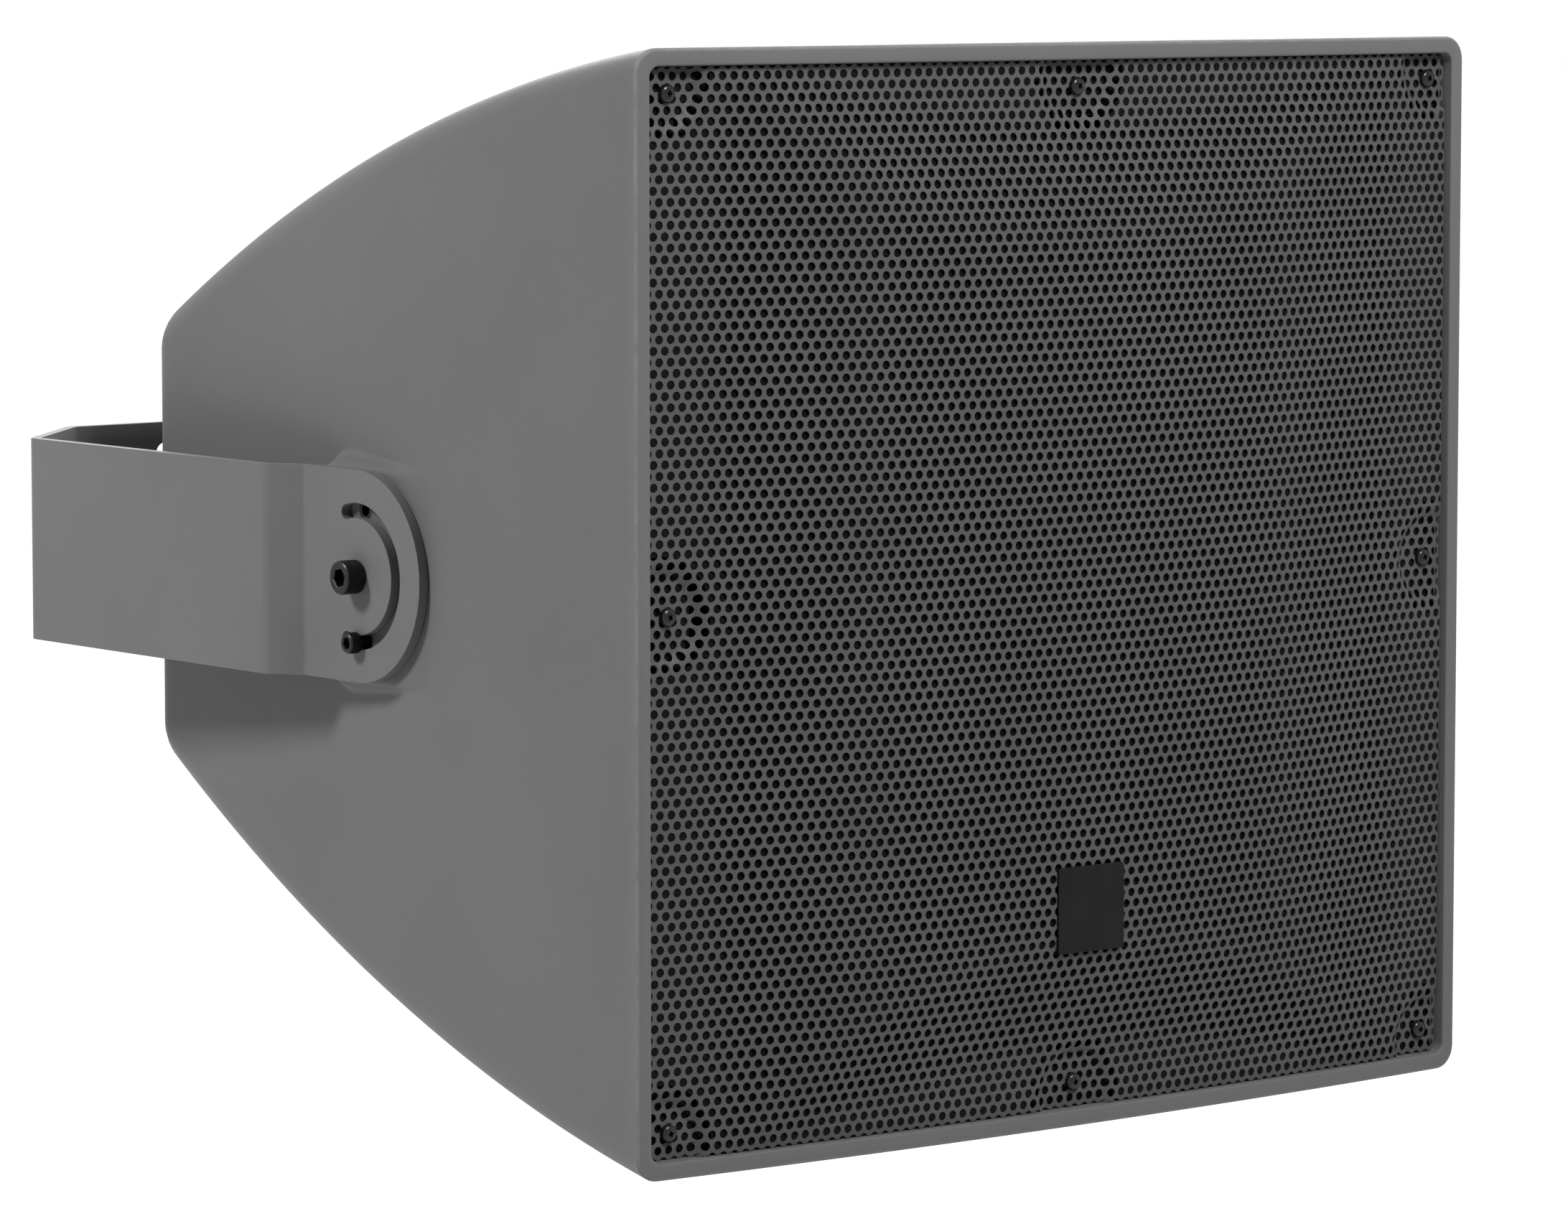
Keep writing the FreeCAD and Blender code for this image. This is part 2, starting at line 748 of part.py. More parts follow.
grille_screws = []
grille_inserts = []
for a, b in grille_places:
    x = signed(a, screw_run)
    z = signed(b, screw_run)
    seat = "%s + grille_recess + seat_deep" % bow_at(x)
    mark = "%d%d" % (a, b)
    grille_screws.append(
        pan_screw("grille_screw_" + mark, "grille_screw", "grille_screw_long", "grille_head",
                  "grille_head_high", x,
                  seat, z)
    )
    start = "%s + grille_thick" % seat
    sleeve = cylinder("grille_sleeve_" + mark, "grille_insert / 2", "flange_thick", x, start, z)
    bore = cylinder("grille_bore_" + mark, "grille_screw / 2 + thread_clearance", "2 * flange_thick", x,
                    start + " - 1", z)
    grille_inserts.append(cut("grille_insert_" + mark, sleeve, bore))
group("grille_screws", grille_screws)
group("grille_inserts", grille_inserts)

foam_front = "(grille_thick + foam_clearance)"
foam_seats = [
    cylinder("foam_seat_%d%d" % (a, b), "seat_radius + 2 * seat_flank", "8 * panel_raise",
             signed(a, "(%s + seat_outset)" % screw_run), "%s - 4 * panel_raise" % front_y,
             signed(b, "(%s + seat_outset)" % screw_run))
    for a, b in grille_places
]
foam = cut("foam_cut", grille_form("foam_face", foam_front, False),
           grille_form("foam_back", foam_front + " + foam_thick", False), *foam_seats)
piece(foam, "grille_foam")

badge_back = "%s - front_bow + grille_recess - panel_raise - bond_clearance" % front_y
badge_block = box("badge_block", "badge_side", "badge_thick", "badge_side", "0",
                  badge_back + " - badge_thick", "0 - badge_drop")
badge = rounded("badge", badge_block, "badge_corner",
                lambda edge: edge.BoundBox.YLength > number("badge_thick") / 2)
piece(badge, "badge_plate")

# Baffle board, bonded across the inside of the shell
baffle_y = "(%s + baffle_setback)" % front_y
woofer_angles = [22.5 + 45 * step for step in range(8)]


def on_circle(orbit, angle):
    return "%s * cos(%s)" % (orbit, angle), "%s * sin(%s)" % (orbit, angle)


board = common("board", cavity, box("board_slab", "front_width", "baffle_thick", "front_height", "0",
                                    baffle_y))
board_cuts = [cylinder("woofer_cutout_cut", "woofer_cutout", "3 * baffle_thick", "0",
                       baffle_y + " - baffle_thick")]
for index, angle in enumerate(woofer_angles):
    x, z = on_circle("woofer_screw_orbit", angle)
    board_cuts.append(
        cylinder("board_hole_%d" % index, "woofer_screw / 2 + thread_clearance", "3 * baffle_thick", x,
                 baffle_y + " - baffle_thick", z)
    )
piece(cut("baffle", board, *board_cuts), "baffle_board")


# Woofer, turned about the speaker's axis; s counts back from the baffle's front face
def station(s):
    return "%s + %s" % (baffle_y, s)


def wall_radius(s):
    return "(basket_throat - (basket_throat - basket_rear) * (%s) / basket_depth)" % s


ledge_back = "(spider_seat + basket_wall)"
ledge_in = "(%s - basket_wall - spider_seat_wide)" % wall_radius("spider_seat")
plate_front = "(basket_depth + basket_plate)"
basket_turn = turned("woofer_basket", [
    ("woofer_radius", station("0 - flange_high")),
    ("woofer_radius", station("0")),
    ("basket_throat", station("0")),
    ("basket_rear", station("basket_depth")),
    ("basket_rear", station(plate_front)),
    ("magnet_bore", station(plate_front)),
    ("magnet_bore", station("basket_depth")),
    (wall_radius("basket_depth") + " - basket_wall", station("basket_depth")),
    (wall_radius(ledge_back) + " - basket_wall", station(ledge_back)),
    (ledge_in, station(ledge_back)),
    (ledge_in, station("spider_seat")),
    (wall_radius("spider_seat") + " - basket_wall", station("spider_seat")),
    ("basket_throat - basket_wall", station("0")),
    ("basket_throat - basket_wall", station("0 - flange_high / 3")),
    ("flange_lip", station("0 - flange_high / 3")),
    ("flange_lip", station("0 - flange_high")),
])
windows = []
for index in range(6):
    spin = 60 * index
    sector = cylinder("window_outside_%d" % index, "window_outer", "basket_depth", "0",
                      station("flange_high"), "0",
                      "y", "window_angle", spin)
    core = cylinder("window_inside_%d" % index, "window_inner", "basket_depth", "0",
                    station("flange_high"))
    windows.append(cut("window_%d" % index, sector, core))
flange_holes = []
woofer_screws = []
for index, angle in enumerate(woofer_angles):
    x, z = on_circle("woofer_screw_orbit", angle)
    flange_holes.append(
        cylinder("flange_hole_%d" % index, "woofer_screw / 2 + bolt_clearance / 2", "3 * flange_high", x,
                 station("0 - 2 * flange_high"), z)
    )
    woofer_screws.append(
        pan_screw("woofer_screw_%d" % index, "woofer_screw", "woofer_screw_long", "woofer_head",
                  "woofer_head_high",
                  x, station("0 - flange_high"), z)
    )
piece(cut("basket", basket_turn, *windows, *flange_holes), "woofer_basket")
group("woofer_screws", woofer_screws)

lip_out = "(flange_lip + gasket_wide)"
gasket_back = "(flange_high + surround_thick + 2 * bond_clearance)"
piece(
    turned("woofer_gasket_ring", [
        ("flange_lip", station("0 - " + gasket_back)),
        (lip_out, station("0 - " + gasket_back)),
        (lip_out, station("0 - %s - gasket_high" % gasket_back)),
        ("flange_lip", station("0 - %s - gasket_high" % gasket_back)),
    ]),
    "woofer_gasket",
)

cone_front = "(flange_high - cone_thick)"
neck_radius = "(coil_radius + former_thick / 2 + bond_clearance)"
piece(
    turned("cone_skin", [
        (neck_radius, station("cone_neck - cone_thick")),
        ("cone_edge", station("0 - flange_high")),
        ("cone_rim", station("0 - flange_high")),
        ("cone_rim", station("0 - %s" % cone_front)),
        ("cone_edge", station("0 - %s" % cone_front)),
        (neck_radius, station("cone_neck")),
    ]),
    "cone",
)

# The surround's half roll stands forward between the cone's rim and the basket's lip
roll_mid = "((cone_rim + flange_lip) / 2)"
roll_radius = "((flange_lip - cone_rim) / 2)"
lip_back = "(flange_high + bond_clearance)"
roll_angles = [180 - 30 * step for step in range(7)]
roll_front = [
    ("%s + %s * cos(%d)" % (roll_mid, roll_radius, angle),
     station("0 - %s - surround_thick - %s * sin(%d)" % (lip_back, roll_radius, angle)))
    for angle in roll_angles
]
roll_back = [
    ("%s + (%s - surround_thick) * cos(%d)" % (roll_mid, roll_radius, angle),
     station("0 - %s - (%s - surround_thick) * sin(%d)" % (lip_back, roll_radius, angle)))
    for angle in roll_angles[::-1]
]
piece(
    turned("surround_roll",
           [("cone_edge", station("0 - %s - surround_thick" % lip_back))] + roll_front + [
        (lip_out, station("0 - %s - surround_thick" % lip_back)),
        (lip_out, station("0 - %s" % lip_back)),
    ] + roll_back + [("cone_edge", station("0 - %s" % lip_back))]),
    "surround",
)

# The spider's folds run between the former and the basket's ledge
spider_in = "(%s + bond_clearance)" % neck_radius
spider_out = "(%s - basket_wall - spider_thick)" % wall_radius("spider_seat")
fold_count = 8
ripple = "(spider_thick * 2)"
spider_line = []
for step in range(fold_count + 1):
    radius = "%s + (%s - spider_seat_wide - %s) * %d / %d" % (spider_in, spider_out, spider_in, step,
                                                              fold_count)
    sway = "%s" % ripple if step % 2 else "0"
    spider_line.append((radius, "spider_seat - spider_thick - bond_clearance - %s" % sway))
spider_line.append((spider_out, "spider_seat - spider_thick - bond_clearance"))
spider_rear = [(radius, s + " + spider_thick") for radius, s in spider_line[::-1]]
piece(turned("spider_disc", [(radius, station(s)) for radius, s in spider_line + spider_rear]), "spider")

former_start = "(cone_neck - cone_thick * 2)"
former_in = "(coil_radius - former_thick / 2)"
former_out = "(coil_radius + former_thick / 2)"
gap_middle = "(%s + top_plate_thick / 2)" % plate_front
winding_out_radius = "(%s + bond_clearance + winding_thick)" % former_out
piece(
    turned("former", [
        (former_in, station(former_start)),
        (former_out, station(former_start)),
        (former_out, station("%s + former_long" % former_start)),
        (former_in, station("%s + former_long" % former_start)),
    ]),
    "voice_coil_former",
)
piece(
    turned("winding", [
        ("%s + bond_clearance" % former_out, station("%s - winding_long / 2" % gap_middle)),
        (winding_out_radius, station("%s - winding_long / 2" % gap_middle)),
        (winding_out_radius, station("%s + winding_long / 2" % gap_middle)),
        ("%s + bond_clearance" % former_out, station("%s + winding_long / 2" % gap_middle)),
    ]),
    "voice_coil_winding",
)

magnet_front = "(%s + top_plate_thick)" % plate_front
magnet_back = "(%s + magnet_thick)" % magnet_front
yoke_back = "(%s + back_plate_thick)" % magnet_back
pole_radius = "(%s - coil_clearance)" % former_in
piece(
    turned("top_plate_ring", [
        (winding_out_radius + " + coil_clearance", station(plate_front)),
        ("plate_radius", station(plate_front)),
        ("plate_radius", station(magnet_front)),
        (winding_out_radius + " + coil_clearance", station(magnet_front)),
    ]),
    "top_plate",
)
piece(
    turned("magnet_block", [
        ("magnet_bore", station(magnet_front)),
        ("magnet_radius", station(magnet_front)),
        ("magnet_radius", station(magnet_back)),
        ("magnet_bore", station(magnet_back)),
    ]),
    "magnet_ring",
)
piece(
    turned("yoke", [
        ("throat_bore", station(plate_front)),
        (pole_radius, station(plate_front)),
        (pole_radius, station(magnet_back)),
        ("plate_radius", station(magnet_back)),
        ("plate_radius", station(yoke_back)),
        ("throat_bore", station(yoke_back)),
    ]),
    "pole_yoke",
)
# The horn opens from the pole's bore towards the grille on an even flare
horn_run = "(%s - horn_front)" % plate_front
horn_line = [
    ("throat_bore + (horn_mouth - throat_bore) * %.2f" % share,
     "%s - %s * %.2f" % (plate_front, horn_run, along))
    for share, along in ((0, 0), (0.06, 0.3), (0.2, 0.6), (0.5, 0.85), (1, 1))
]
horn_outside = [(radius + " + horn_wall", s) for radius, s in horn_line[:0:-1]]
piece(
    turned("horn_flare", [(radius, station(s)) for radius, s in horn_line + horn_outside + [
        ("throat_bore + 2 * horn_wall", plate_front + " - 2 * horn_wall"),
        ("horn_foot", plate_front + " - 2 * horn_wall"),
        ("horn_foot", plate_front),
    ]]),
    "horn",
)
tweeter_back = "(%s + tweeter_long)" % yoke_back
piece(
    turned("tweeter", [
        ("0", station(yoke_back)),
        ("tweeter_radius", station(yoke_back)),
        ("tweeter_radius", station(tweeter_back)),
        ("0", station(tweeter_back)),
    ]),
    "tweeter_driver",
)
piece(
    turned("tweeter_lid", [
        ("0", station(tweeter_back)),
        ("tweeter_cap_radius", station(tweeter_back)),
        ("tweeter_cap_radius - tweeter_cap_long / 2", station(tweeter_back + " + tweeter_cap_long")),
        ("0", station(tweeter_back + " + tweeter_cap_long")),
    ]),
    "tweeter_cap",
)


# Rear connection plate with its gasket, screws and cable gland
def rounded_plate(name, wide, thick, high, start, corner):
    block = box(name + "_block", wide, thick, high, "0", start)
    return rounded(name, block, corner, lambda edge: edge.BoundBox.YLength > number(thick) / 2)


plate_start = "(%s + plate_gasket)" % rear_y
plate_end = "(%s + plate_thick)" % plate_start
clear_holes = [
    cylinder("clear_hole_%d" % index, "plate_screw / 2 + bolt_clearance / 2",
             "plate_gasket + plate_thick + 2", x,
             rear_y + " - 1", z)
    for index, (x, z) in enumerate(plate_screw_places)
]
gland_hole = cylinder("gland_hole", "gland_thread / 2 + bolt_clearance / 2", "3 * plate_thick", "0",
                      plate_start + " - plate_thick")
standoff_places = [
    (signed(a, "(board_wide / 2 - standoff_inset)"), signed(b, "(board_high / 2 - standoff_inset)"))
    for a in (-1, 1)
    for b in (-1, 1)
]
plate_block = rounded_plate("plate_block", "plate_wide", "plate_thick", "plate_high", plate_start,
                            "plate_corner")
piece(cut("plate", plate_block, *clear_holes, gland_hole), "connection_plate")
gasket_block = rounded_plate("seal_block", "plate_wide", "plate_gasket", "plate_high", rear_y,
                             "plate_corner")
seal_port = box("seal_port", "port_wide", "3 * plate_gasket", "port_high", "0",
                rear_y + " - plate_gasket")
piece(cut("seal", gasket_block, *clear_holes, seal_port), "plate_gasket")


def rear_screw(name, thread, long, head, head_high, x, seat, z):
    # a screw driven towards -Y with its head behind the seat
    step = "(%s) / 2" % head_high
    return fuse(
        name,
        cylinder(name + "_shank", thread + " / 2", "%s + %s" % (long, step), x,
                 "%s - %s" % (seat, long), z),
        cylinder(name + "_rim", head + " / 2", step, x, seat, z),
        cone(name + "_dome", "(%s) / 2" % head, "(%s) / 3" % head, step, x, "%s + %s" % (seat, step), z),
    )


group("plate_screws", [
    rear_screw("plate_screw_%d" % index, "plate_screw", "plate_screw_long", "plate_head",
               "plate_head_high", x,
               plate_end, z)
    for index, (x, z) in enumerate(plate_screw_places)
])
gland_solid = fuse(
    "gland_solid",
    cylinder("gland_stem", "gland_thread / 2",
             "gland_tail + plate_thick + gland_collar + gland_nut_long / 2",
             "0", plate_start + " - gland_tail"),
    hexagon("gland_collar_hex", "gland_hex", "gland_collar", "0", plate_end),
)
gland_way = cylinder("gland_way", "gland_bore / 2",
                     "gland_tail + plate_thick + gland_collar + gland_nut_long",
                     "0", plate_start + " - gland_tail - 1")
piece(cut("gland", gland_solid, gland_way), "gland_body")
nut_start = plate_end + " + gland_collar + bond_clearance"
nut_solid = fuse(
    "nut_solid",
    hexagon("nut_hex", "gland_hex", "gland_nut_long * 0.6", "0", nut_start),
    cone("nut_dome", "gland_hex / 2", "gland_bore / 2 + 2", "gland_nut_long * 0.4", "0",
         nut_start + " + gland_nut_long * 0.6"),
)
nut_thread = cylinder("nut_thread", "gland_thread / 2 + thread_clearance", "gland_nut_long / 2 + 1", "0",
                      nut_start + " - 1")
nut_way = cylinder("nut_way", "gland_bore / 2", "2 * gland_nut_long", "0", nut_start)
piece(cut("nut", nut_solid, nut_thread, nut_way), "gland_nut")
lock_start = plate_start + " - gland_locknut"
piece(
    cut("locknut", hexagon("locknut_hex", "gland_hex", "gland_locknut", "0", lock_start),
        cylinder("locknut_thread", "gland_thread / 2 + thread_clearance", "2 * gland_locknut", "0",
                 lock_start + " - 1")),
    "gland_locknut",
)

# Crossover board on standoffs inside the plate, its parts facing into the cabinet
board_back = "(%s - standoff_long)" % plate_start
board_front = "(%s - board_thick)" % board_back
standoffs = []
standoff_holes = []
board_screws = []
for index, (x, z) in enumerate(standoff_places):
    post = cylinder("post_%d" % index, "standoff_radius", "standoff_long", x, board_back, z)
    bore = cylinder("post_bore_%d" % index, "board_screw / 2 + thread_clearance", "standoff_long / 2", x,
                    board_back + " - 1", z)
    standoffs.append(cut("standoff_%d" % index, post, bore))
    standoff_holes.append(
        cylinder("board_clear_%d" % index, "board_screw / 2 + bolt_clearance / 2", "4 * board_thick", x,
                 board_front + " - board_thick", z)
    )
    board_screws.append(
        pan_screw("board_screw_%d" % index, "board_screw", "standoff_long / 3", "board_screw * 2",
                  "board_screw * 0.7",
                  x, board_front, z)
    )
piece(
    cut("circuit", box("circuit_slab", "board_wide", "board_thick", "board_high", "0", board_front),
        *standoff_holes),
    "crossover_board",
)
group("board_standoffs", standoffs)
group("board_screws", board_screws)
coils = []
for index, x in enumerate(("0 - board_wide / 4", "board_wide / 12")):
    start = board_front + " - coil_high"
    ring = cylinder("coil_%d" % index, "coil_outer", "coil_high", x, start,
                    "board_high / 2 - coil_outer")
    eye = cylinder("coil_eye_%d" % index, "coil_inner", "2 * coil_high", x, start + " - 1",
                   "board_high / 2 - coil_outer")
    coils.append(cut("coil_ring_%d" % index, ring, eye))
group("inductor_coils", coils)
group("capacitors", [
    cylinder("capacitor_%d" % index, "capacitor_radius", "capacitor_long",
             "0 - 4 * capacitor_radius + 2.2 * capacitor_radius * %d" % index,
             board_front + " - capacitor_long",
             "0 - board_high / 2 + capacitor_radius + 2")
    for index in range(3)
])
piece(
    box("resistor", "resistor_side", "resistor_side", "resistor_long",
        "board_wide / 2 - 1.5 * resistor_side",
        board_front + " - resistor_side", "board_high / 2 - standoff_inset * 2 - resistor_long / 2"),
    "power_resistor",
)
terminal_x = "board_wide / 2 - standoff_inset * 2 - terminal_wide / 2"
terminal_z = "0 - board_high / 2 + terminal_side / 2 + 1"
terminal_body = box("terminal_body", "terminal_wide", "terminal_side", "terminal_side", terminal_x,
                    board_front + " - terminal_side", terminal_z)
terminal_holes = [
    cylinder("terminal_hole_%d" % index, "terminal_side / 5", "terminal_side / 2",
             "%s + terminal_wide * %d / 4" % (terminal_x, index - 1),
             board_front + " - terminal_side - 1", terminal_z)
    for index in range(3)
]
piece(cut("terminals", terminal_body, *terminal_holes), "terminal_block")

# Line transformer on two feet beside the plate
core_x = "(0 - core_offset)"
core_back = "(%s - core_standoff)" % rear_inside
core_front = "(%s - core_stack)" % core_back
window_wide = "(core_wide / 2 - limb_wide / 2 - yoke_thick)"
window_high = "(core_high - 2 * yoke_thick)"
core_windows = [
    box("core_window_%d" % index, window_wide, "3 * core_stack", window_high,
        "%s %s (limb_wide + %s) / 2" % (core_x, sign, window_wide), core_front + " - core_stack")
    for index, sign in enumerate("+-")
]
core_block = box("core_block", "core_wide", "core_stack", "core_high", core_x, core_front)
piece(cut("core", core_block, *core_windows), "transformer_core")
wire_wide = "(limb_wide + 2 * %s - 4 * foam_clearance)" % window_wide
wire_block = box("wire_block", wire_wide, "core_stack + 2 * winding_out",
                 window_high + " - 2 * foam_clearance",
                 core_x, core_front + " - winding_out")
wire_limb = box("wire_limb", "limb_wide + 2 * foam_clearance", "core_stack + 2 * foam_clearance",
                "core_high", core_x,
                core_front + " - foam_clearance")
piece(cut("wire", wire_block, wire_limb), "transformer_winding")
foot_plane = "(%s - foot_boss)" % rear_inside
feet = []
foot_screws = []
for index, sign in enumerate("-+"):
    side_x = "%s %s (core_wide / 2 + foot_thick / 2)" % (core_x, sign)
    pad_x = "%s %s (core_wide / 2 + foot_thick + foot_long / 2)" % (core_x, sign)
    cheek = box("cheek_%d" % index, "foot_thick", "%s - %s" % (foot_plane, core_front), "foot_high",
                side_x, core_front)
    toe = box("toe_%d" % index, "foot_long + foot_thick", "foot_thick", "foot_high",
              "%s %s (core_wide / 2 + (foot_thick + foot_long) / 2)" % (core_x, sign),
              foot_plane + " - foot_thick")
    hole = cylinder("toe_hole_%d" % index, "foot_screw / 2 + bolt_clearance / 2", "4 * foot_thick",
                    pad_x,
                    foot_plane + " - 2 * foot_thick")
    feet.append(cut("foot_%d" % index, fuse("foot_solid_%d" % index, cheek, toe), hole))
    foot_screws.append(
        pan_screw("foot_screw_%d" % index, "foot_screw", "foot_thick + foot_boss * 0.8",
                  "foot_screw * 2",
                  "foot_screw * 0.7", pad_x, foot_plane + " - foot_thick", "0")
    )
group("transformer_feet", feet)
group("transformer_screws", foot_screws)

# Rebuild, test every object and write one file for each sub-part
doc.recompute()
for item in doc.Objects:
    if "Invalid" in item.State or "Error" in item.State:
        raise SystemExit("%s is %s" % (item.Label, item.State))
os.makedirs("parts", exist_ok=True)
for item in pieces:
    shape = item.Shape
    if shape.isNull() or not shape.isValid() or not shape.Solids:
        raise SystemExit("%s has no sound shape" % item.Label)
    shape.exportStep(os.path.join("parts", item.Label + ".step"))
    print("%-22s solids %d volume %.1f cm3" % (item.Label, len(shape.Solids), shape.Volume / 1000))
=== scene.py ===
import bmesh
import bpy
import math
from mathutils import Matrix, Vector


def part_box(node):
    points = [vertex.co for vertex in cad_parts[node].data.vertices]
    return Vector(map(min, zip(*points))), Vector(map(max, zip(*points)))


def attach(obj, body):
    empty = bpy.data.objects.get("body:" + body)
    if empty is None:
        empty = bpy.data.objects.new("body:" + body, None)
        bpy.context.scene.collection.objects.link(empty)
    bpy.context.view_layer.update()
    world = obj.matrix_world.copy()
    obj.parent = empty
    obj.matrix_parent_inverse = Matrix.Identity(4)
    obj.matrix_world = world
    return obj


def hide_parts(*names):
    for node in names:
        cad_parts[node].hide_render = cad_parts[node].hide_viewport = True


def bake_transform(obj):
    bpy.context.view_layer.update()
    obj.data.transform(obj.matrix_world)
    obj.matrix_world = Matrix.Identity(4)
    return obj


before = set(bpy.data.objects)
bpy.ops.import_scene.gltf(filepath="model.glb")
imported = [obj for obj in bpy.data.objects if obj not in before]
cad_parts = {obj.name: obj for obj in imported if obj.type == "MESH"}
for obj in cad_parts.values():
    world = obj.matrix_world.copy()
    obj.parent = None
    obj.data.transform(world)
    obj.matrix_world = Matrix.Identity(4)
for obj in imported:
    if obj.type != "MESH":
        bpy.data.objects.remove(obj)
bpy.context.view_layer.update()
print("frame loaded with", len(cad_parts), "nodes")

scene = bpy.context.scene
scene.view_settings.view_transform = "Standard"

bumpDepth = {"grain": 0.0001, "tracks": 0.0002, "threads": 0.0003, "peel": 0.0004, "cells": 0.0008}  # metres
wearHighlightPatches = {"scale": 140, "least": 0.35}  # how the edges' wear and painted highlight break up


# small helpers for node trees
def startFinish(name):
    finish = bpy.data.materials.new(name)
    finish.use_nodes = True
    tree = finish.node_tree
    shader = tree.nodes["Principled BSDF"]
    coords = tree.nodes.new("ShaderNodeTexCoord").outputs["Object"]
    return finish, tree, shader, coords


def noiseOf(tree, coords, scale, detail=3.0, rough=0.55, squeeze=None):
    source = coords
    if squeeze:
        mapping = tree.nodes.new("ShaderNodeMapping")
        mapping.inputs["Scale"].default_value = squeeze
        tree.links.new(coords, mapping.inputs["Vector"])
        source = mapping.outputs["Vector"]
    noise = tree.nodes.new("ShaderNodeTexNoise")
    noise.inputs["Scale"].default_value = scale
    noise.inputs["Detail"].default_value = detail
    noise.inputs["Roughness"].default_value = rough
    tree.links.new(source, noise.inputs["Vector"])
    return noise.outputs["Fac"]


def waveOf(tree, coords, scale, axis, distort=0.0):
    wave = tree.nodes.new("ShaderNodeTexWave")
    wave.wave_type = "BANDS"
    wave.bands_direction = axis
    wave.inputs["Scale"].default_value = scale
    wave.inputs["Distortion"].default_value = distort
    tree.links.new(coords, wave.inputs["Vector"])
    return wave.outputs["Fac"]


def spread(tree, value, low, high, fromLow=0.3, fromHigh=0.7):
    ranger = tree.nodes.new("ShaderNodeMapRange")
    ranger.inputs["From Min"].default_value = fromLow
    ranger.inputs["From Max"].default_value = fromHigh
    ranger.inputs["To Min"].default_value = low
    ranger.inputs["To Max"].default_value = high
    tree.links.new(value, ranger.inputs["Value"])
    return ranger.outputs["Result"]


def tones(tree, value, dark, light, start=0.3, end=0.7):
    ramp = tree.nodes.new("ShaderNodeValToRGB")
    ramp.color_ramp.elements[0].position = start
    ramp.color_ramp.elements[0].color = (*dark, 1)
    ramp.color_ramp.elements[1].position = end
    ramp.color_ramp.elements[1].color = (*light, 1)
    tree.links.new(value, ramp.inputs["Fac"])
    return ramp.outputs["Color"]


def blendTones(tree, factor, first, second):
    mixer = tree.nodes.new("ShaderNodeMix")
    mixer.data_type = "RGBA"
    tree.links.new(factor, mixer.inputs["Factor"])
    for value, socket in ((first, mixer.inputs[6]), (second, mixer.inputs[7])):
        if isinstance(value, tuple):
            socket.default_value = (*value, 1)
        else:
            tree.links.new(value, socket)
    return mixer.outputs[2]


def bumps(tree, shader, *layers):
    # each layer is a height, its strength and its depth in metres
    last = None
    for height, strength, depth in layers:
        bump = tree.nodes.new("ShaderNodeBump")
        bump.inputs["Strength"].default_value = strength
        bump.inputs["Distance"].default_value = depth
        tree.links.new(height, bump.inputs["Height"])
        if last:
            tree.links.new(last, bump.inputs["Normal"])
        last = bump.outputs["Normal"]
    tree.links.new(last, shader.inputs["Normal"])


def paint(name, look):
    # sprayed or moulded satin colour: faint clouds, fine grain, and lighter rubbed edges where a piece marks
    # them, which are wear with a painted highlight
    finish, tree, shader, coords = startFinish(name)
    clouds = noiseOf(tree, coords, look["cloud"], detail=4)
    grain = noiseOf(tree, coords, look["grain"], detail=2)
    peel = noiseOf(tree, coords, look["peel"], detail=2)
    colour = tones(tree, clouds, look["dark"], look["light"])
    # lighter rounded edges: real wear together with a painted highlight
    if "rubbedAndHighlit" in look:
        mark = tree.nodes.new("ShaderNodeAttribute")
        mark.attribute_name = "wearAndHighlight"
        patches = noiseOf(tree, coords, wearHighlightPatches["scale"], detail=4)
        patchy = spread(tree, patches, wearHighlightPatches["least"], 1.0)
        amount = tree.nodes.new("ShaderNodeMath")
        amount.operation = "MULTIPLY"
        tree.links.new(mark.outputs["Fac"], amount.inputs[0])
        tree.links.new(patchy, amount.inputs[1])
        colour = blendTones(tree, amount.outputs[0], colour, look["rubbedAndHighlit"])
    tree.links.new(colour, shader.inputs["Base Color"])
    tree.links.new(spread(tree, grain, *look["rough"]), shader.inputs["Roughness"])
    shader.inputs["Specular IOR Level"].default_value = look["gloss"]
    bumps(tree, shader, (peel, look["peelBump"], bumpDepth["peel"]),
          (grain, look["grainBump"], bumpDepth["grain"]))
    return finish


def grey(value):
    return (value, value, value)


# the cabinet's rubbed tone lightens its rounded edges: wear plus a painted highlight
cabinetPaint = paint("cabinetPaint", {
    "dark": grey(0.158), "light": grey(0.174), "rubbedAndHighlit": grey(0.245), "cloud": 7, "grain": 1500,
    "peel": 420, "rough": (0.44, 0.58), "gloss": 0.15, "peelBump": 0.10, "grainBump": 0.22,
})
grillePaint = paint("grillePaint", {
    "dark": grey(0.09), "light": grey(0.105), "cloud": 16, "grain": 1900, "peel": 700,
    "rough": (0.42, 0.58), "gloss": 0.16, "peelBump": 0.12, "grainBump": 0.2,
})
bracketPaint = paint("bracketPaint", {
    "dark": grey(0.178), "light": grey(0.2), "cloud": 9, "grain": 1300, "peel": 520,
    "rough": (0.4, 0.54), "gloss": 0.16, "peelBump": 0.14, "grainBump": 0.2,
})
blackSteel = paint("blackSteel", {
    "dark": grey(0.005), "light": grey(0.01), "cloud": 120, "grain": 2600, "peel": 900,
    "rough": (0.26, 0.4), "gloss": 0.22, "peelBump": 0.06, "grainBump": 0.15,
})
screwBlack = paint("screwBlack", {
    "dark": grey(0.005), "light": grey(0.01), "cloud": 200, "grain": 2600, "peel": 1200,
    "rough": (0.12, 0.2), "gloss": 0.32, "peelBump": 0.03, "grainBump": 0.06,
})
badgeDark = paint("badgeDark", {
    "dark": grey(0.008), "light": grey(0.012), "cloud": 60, "grain": 1700, "peel": 300,
    "rough": (0.3, 0.42), "gloss": 0.1, "peelBump": 0.04, "grainBump": 0.08,
})
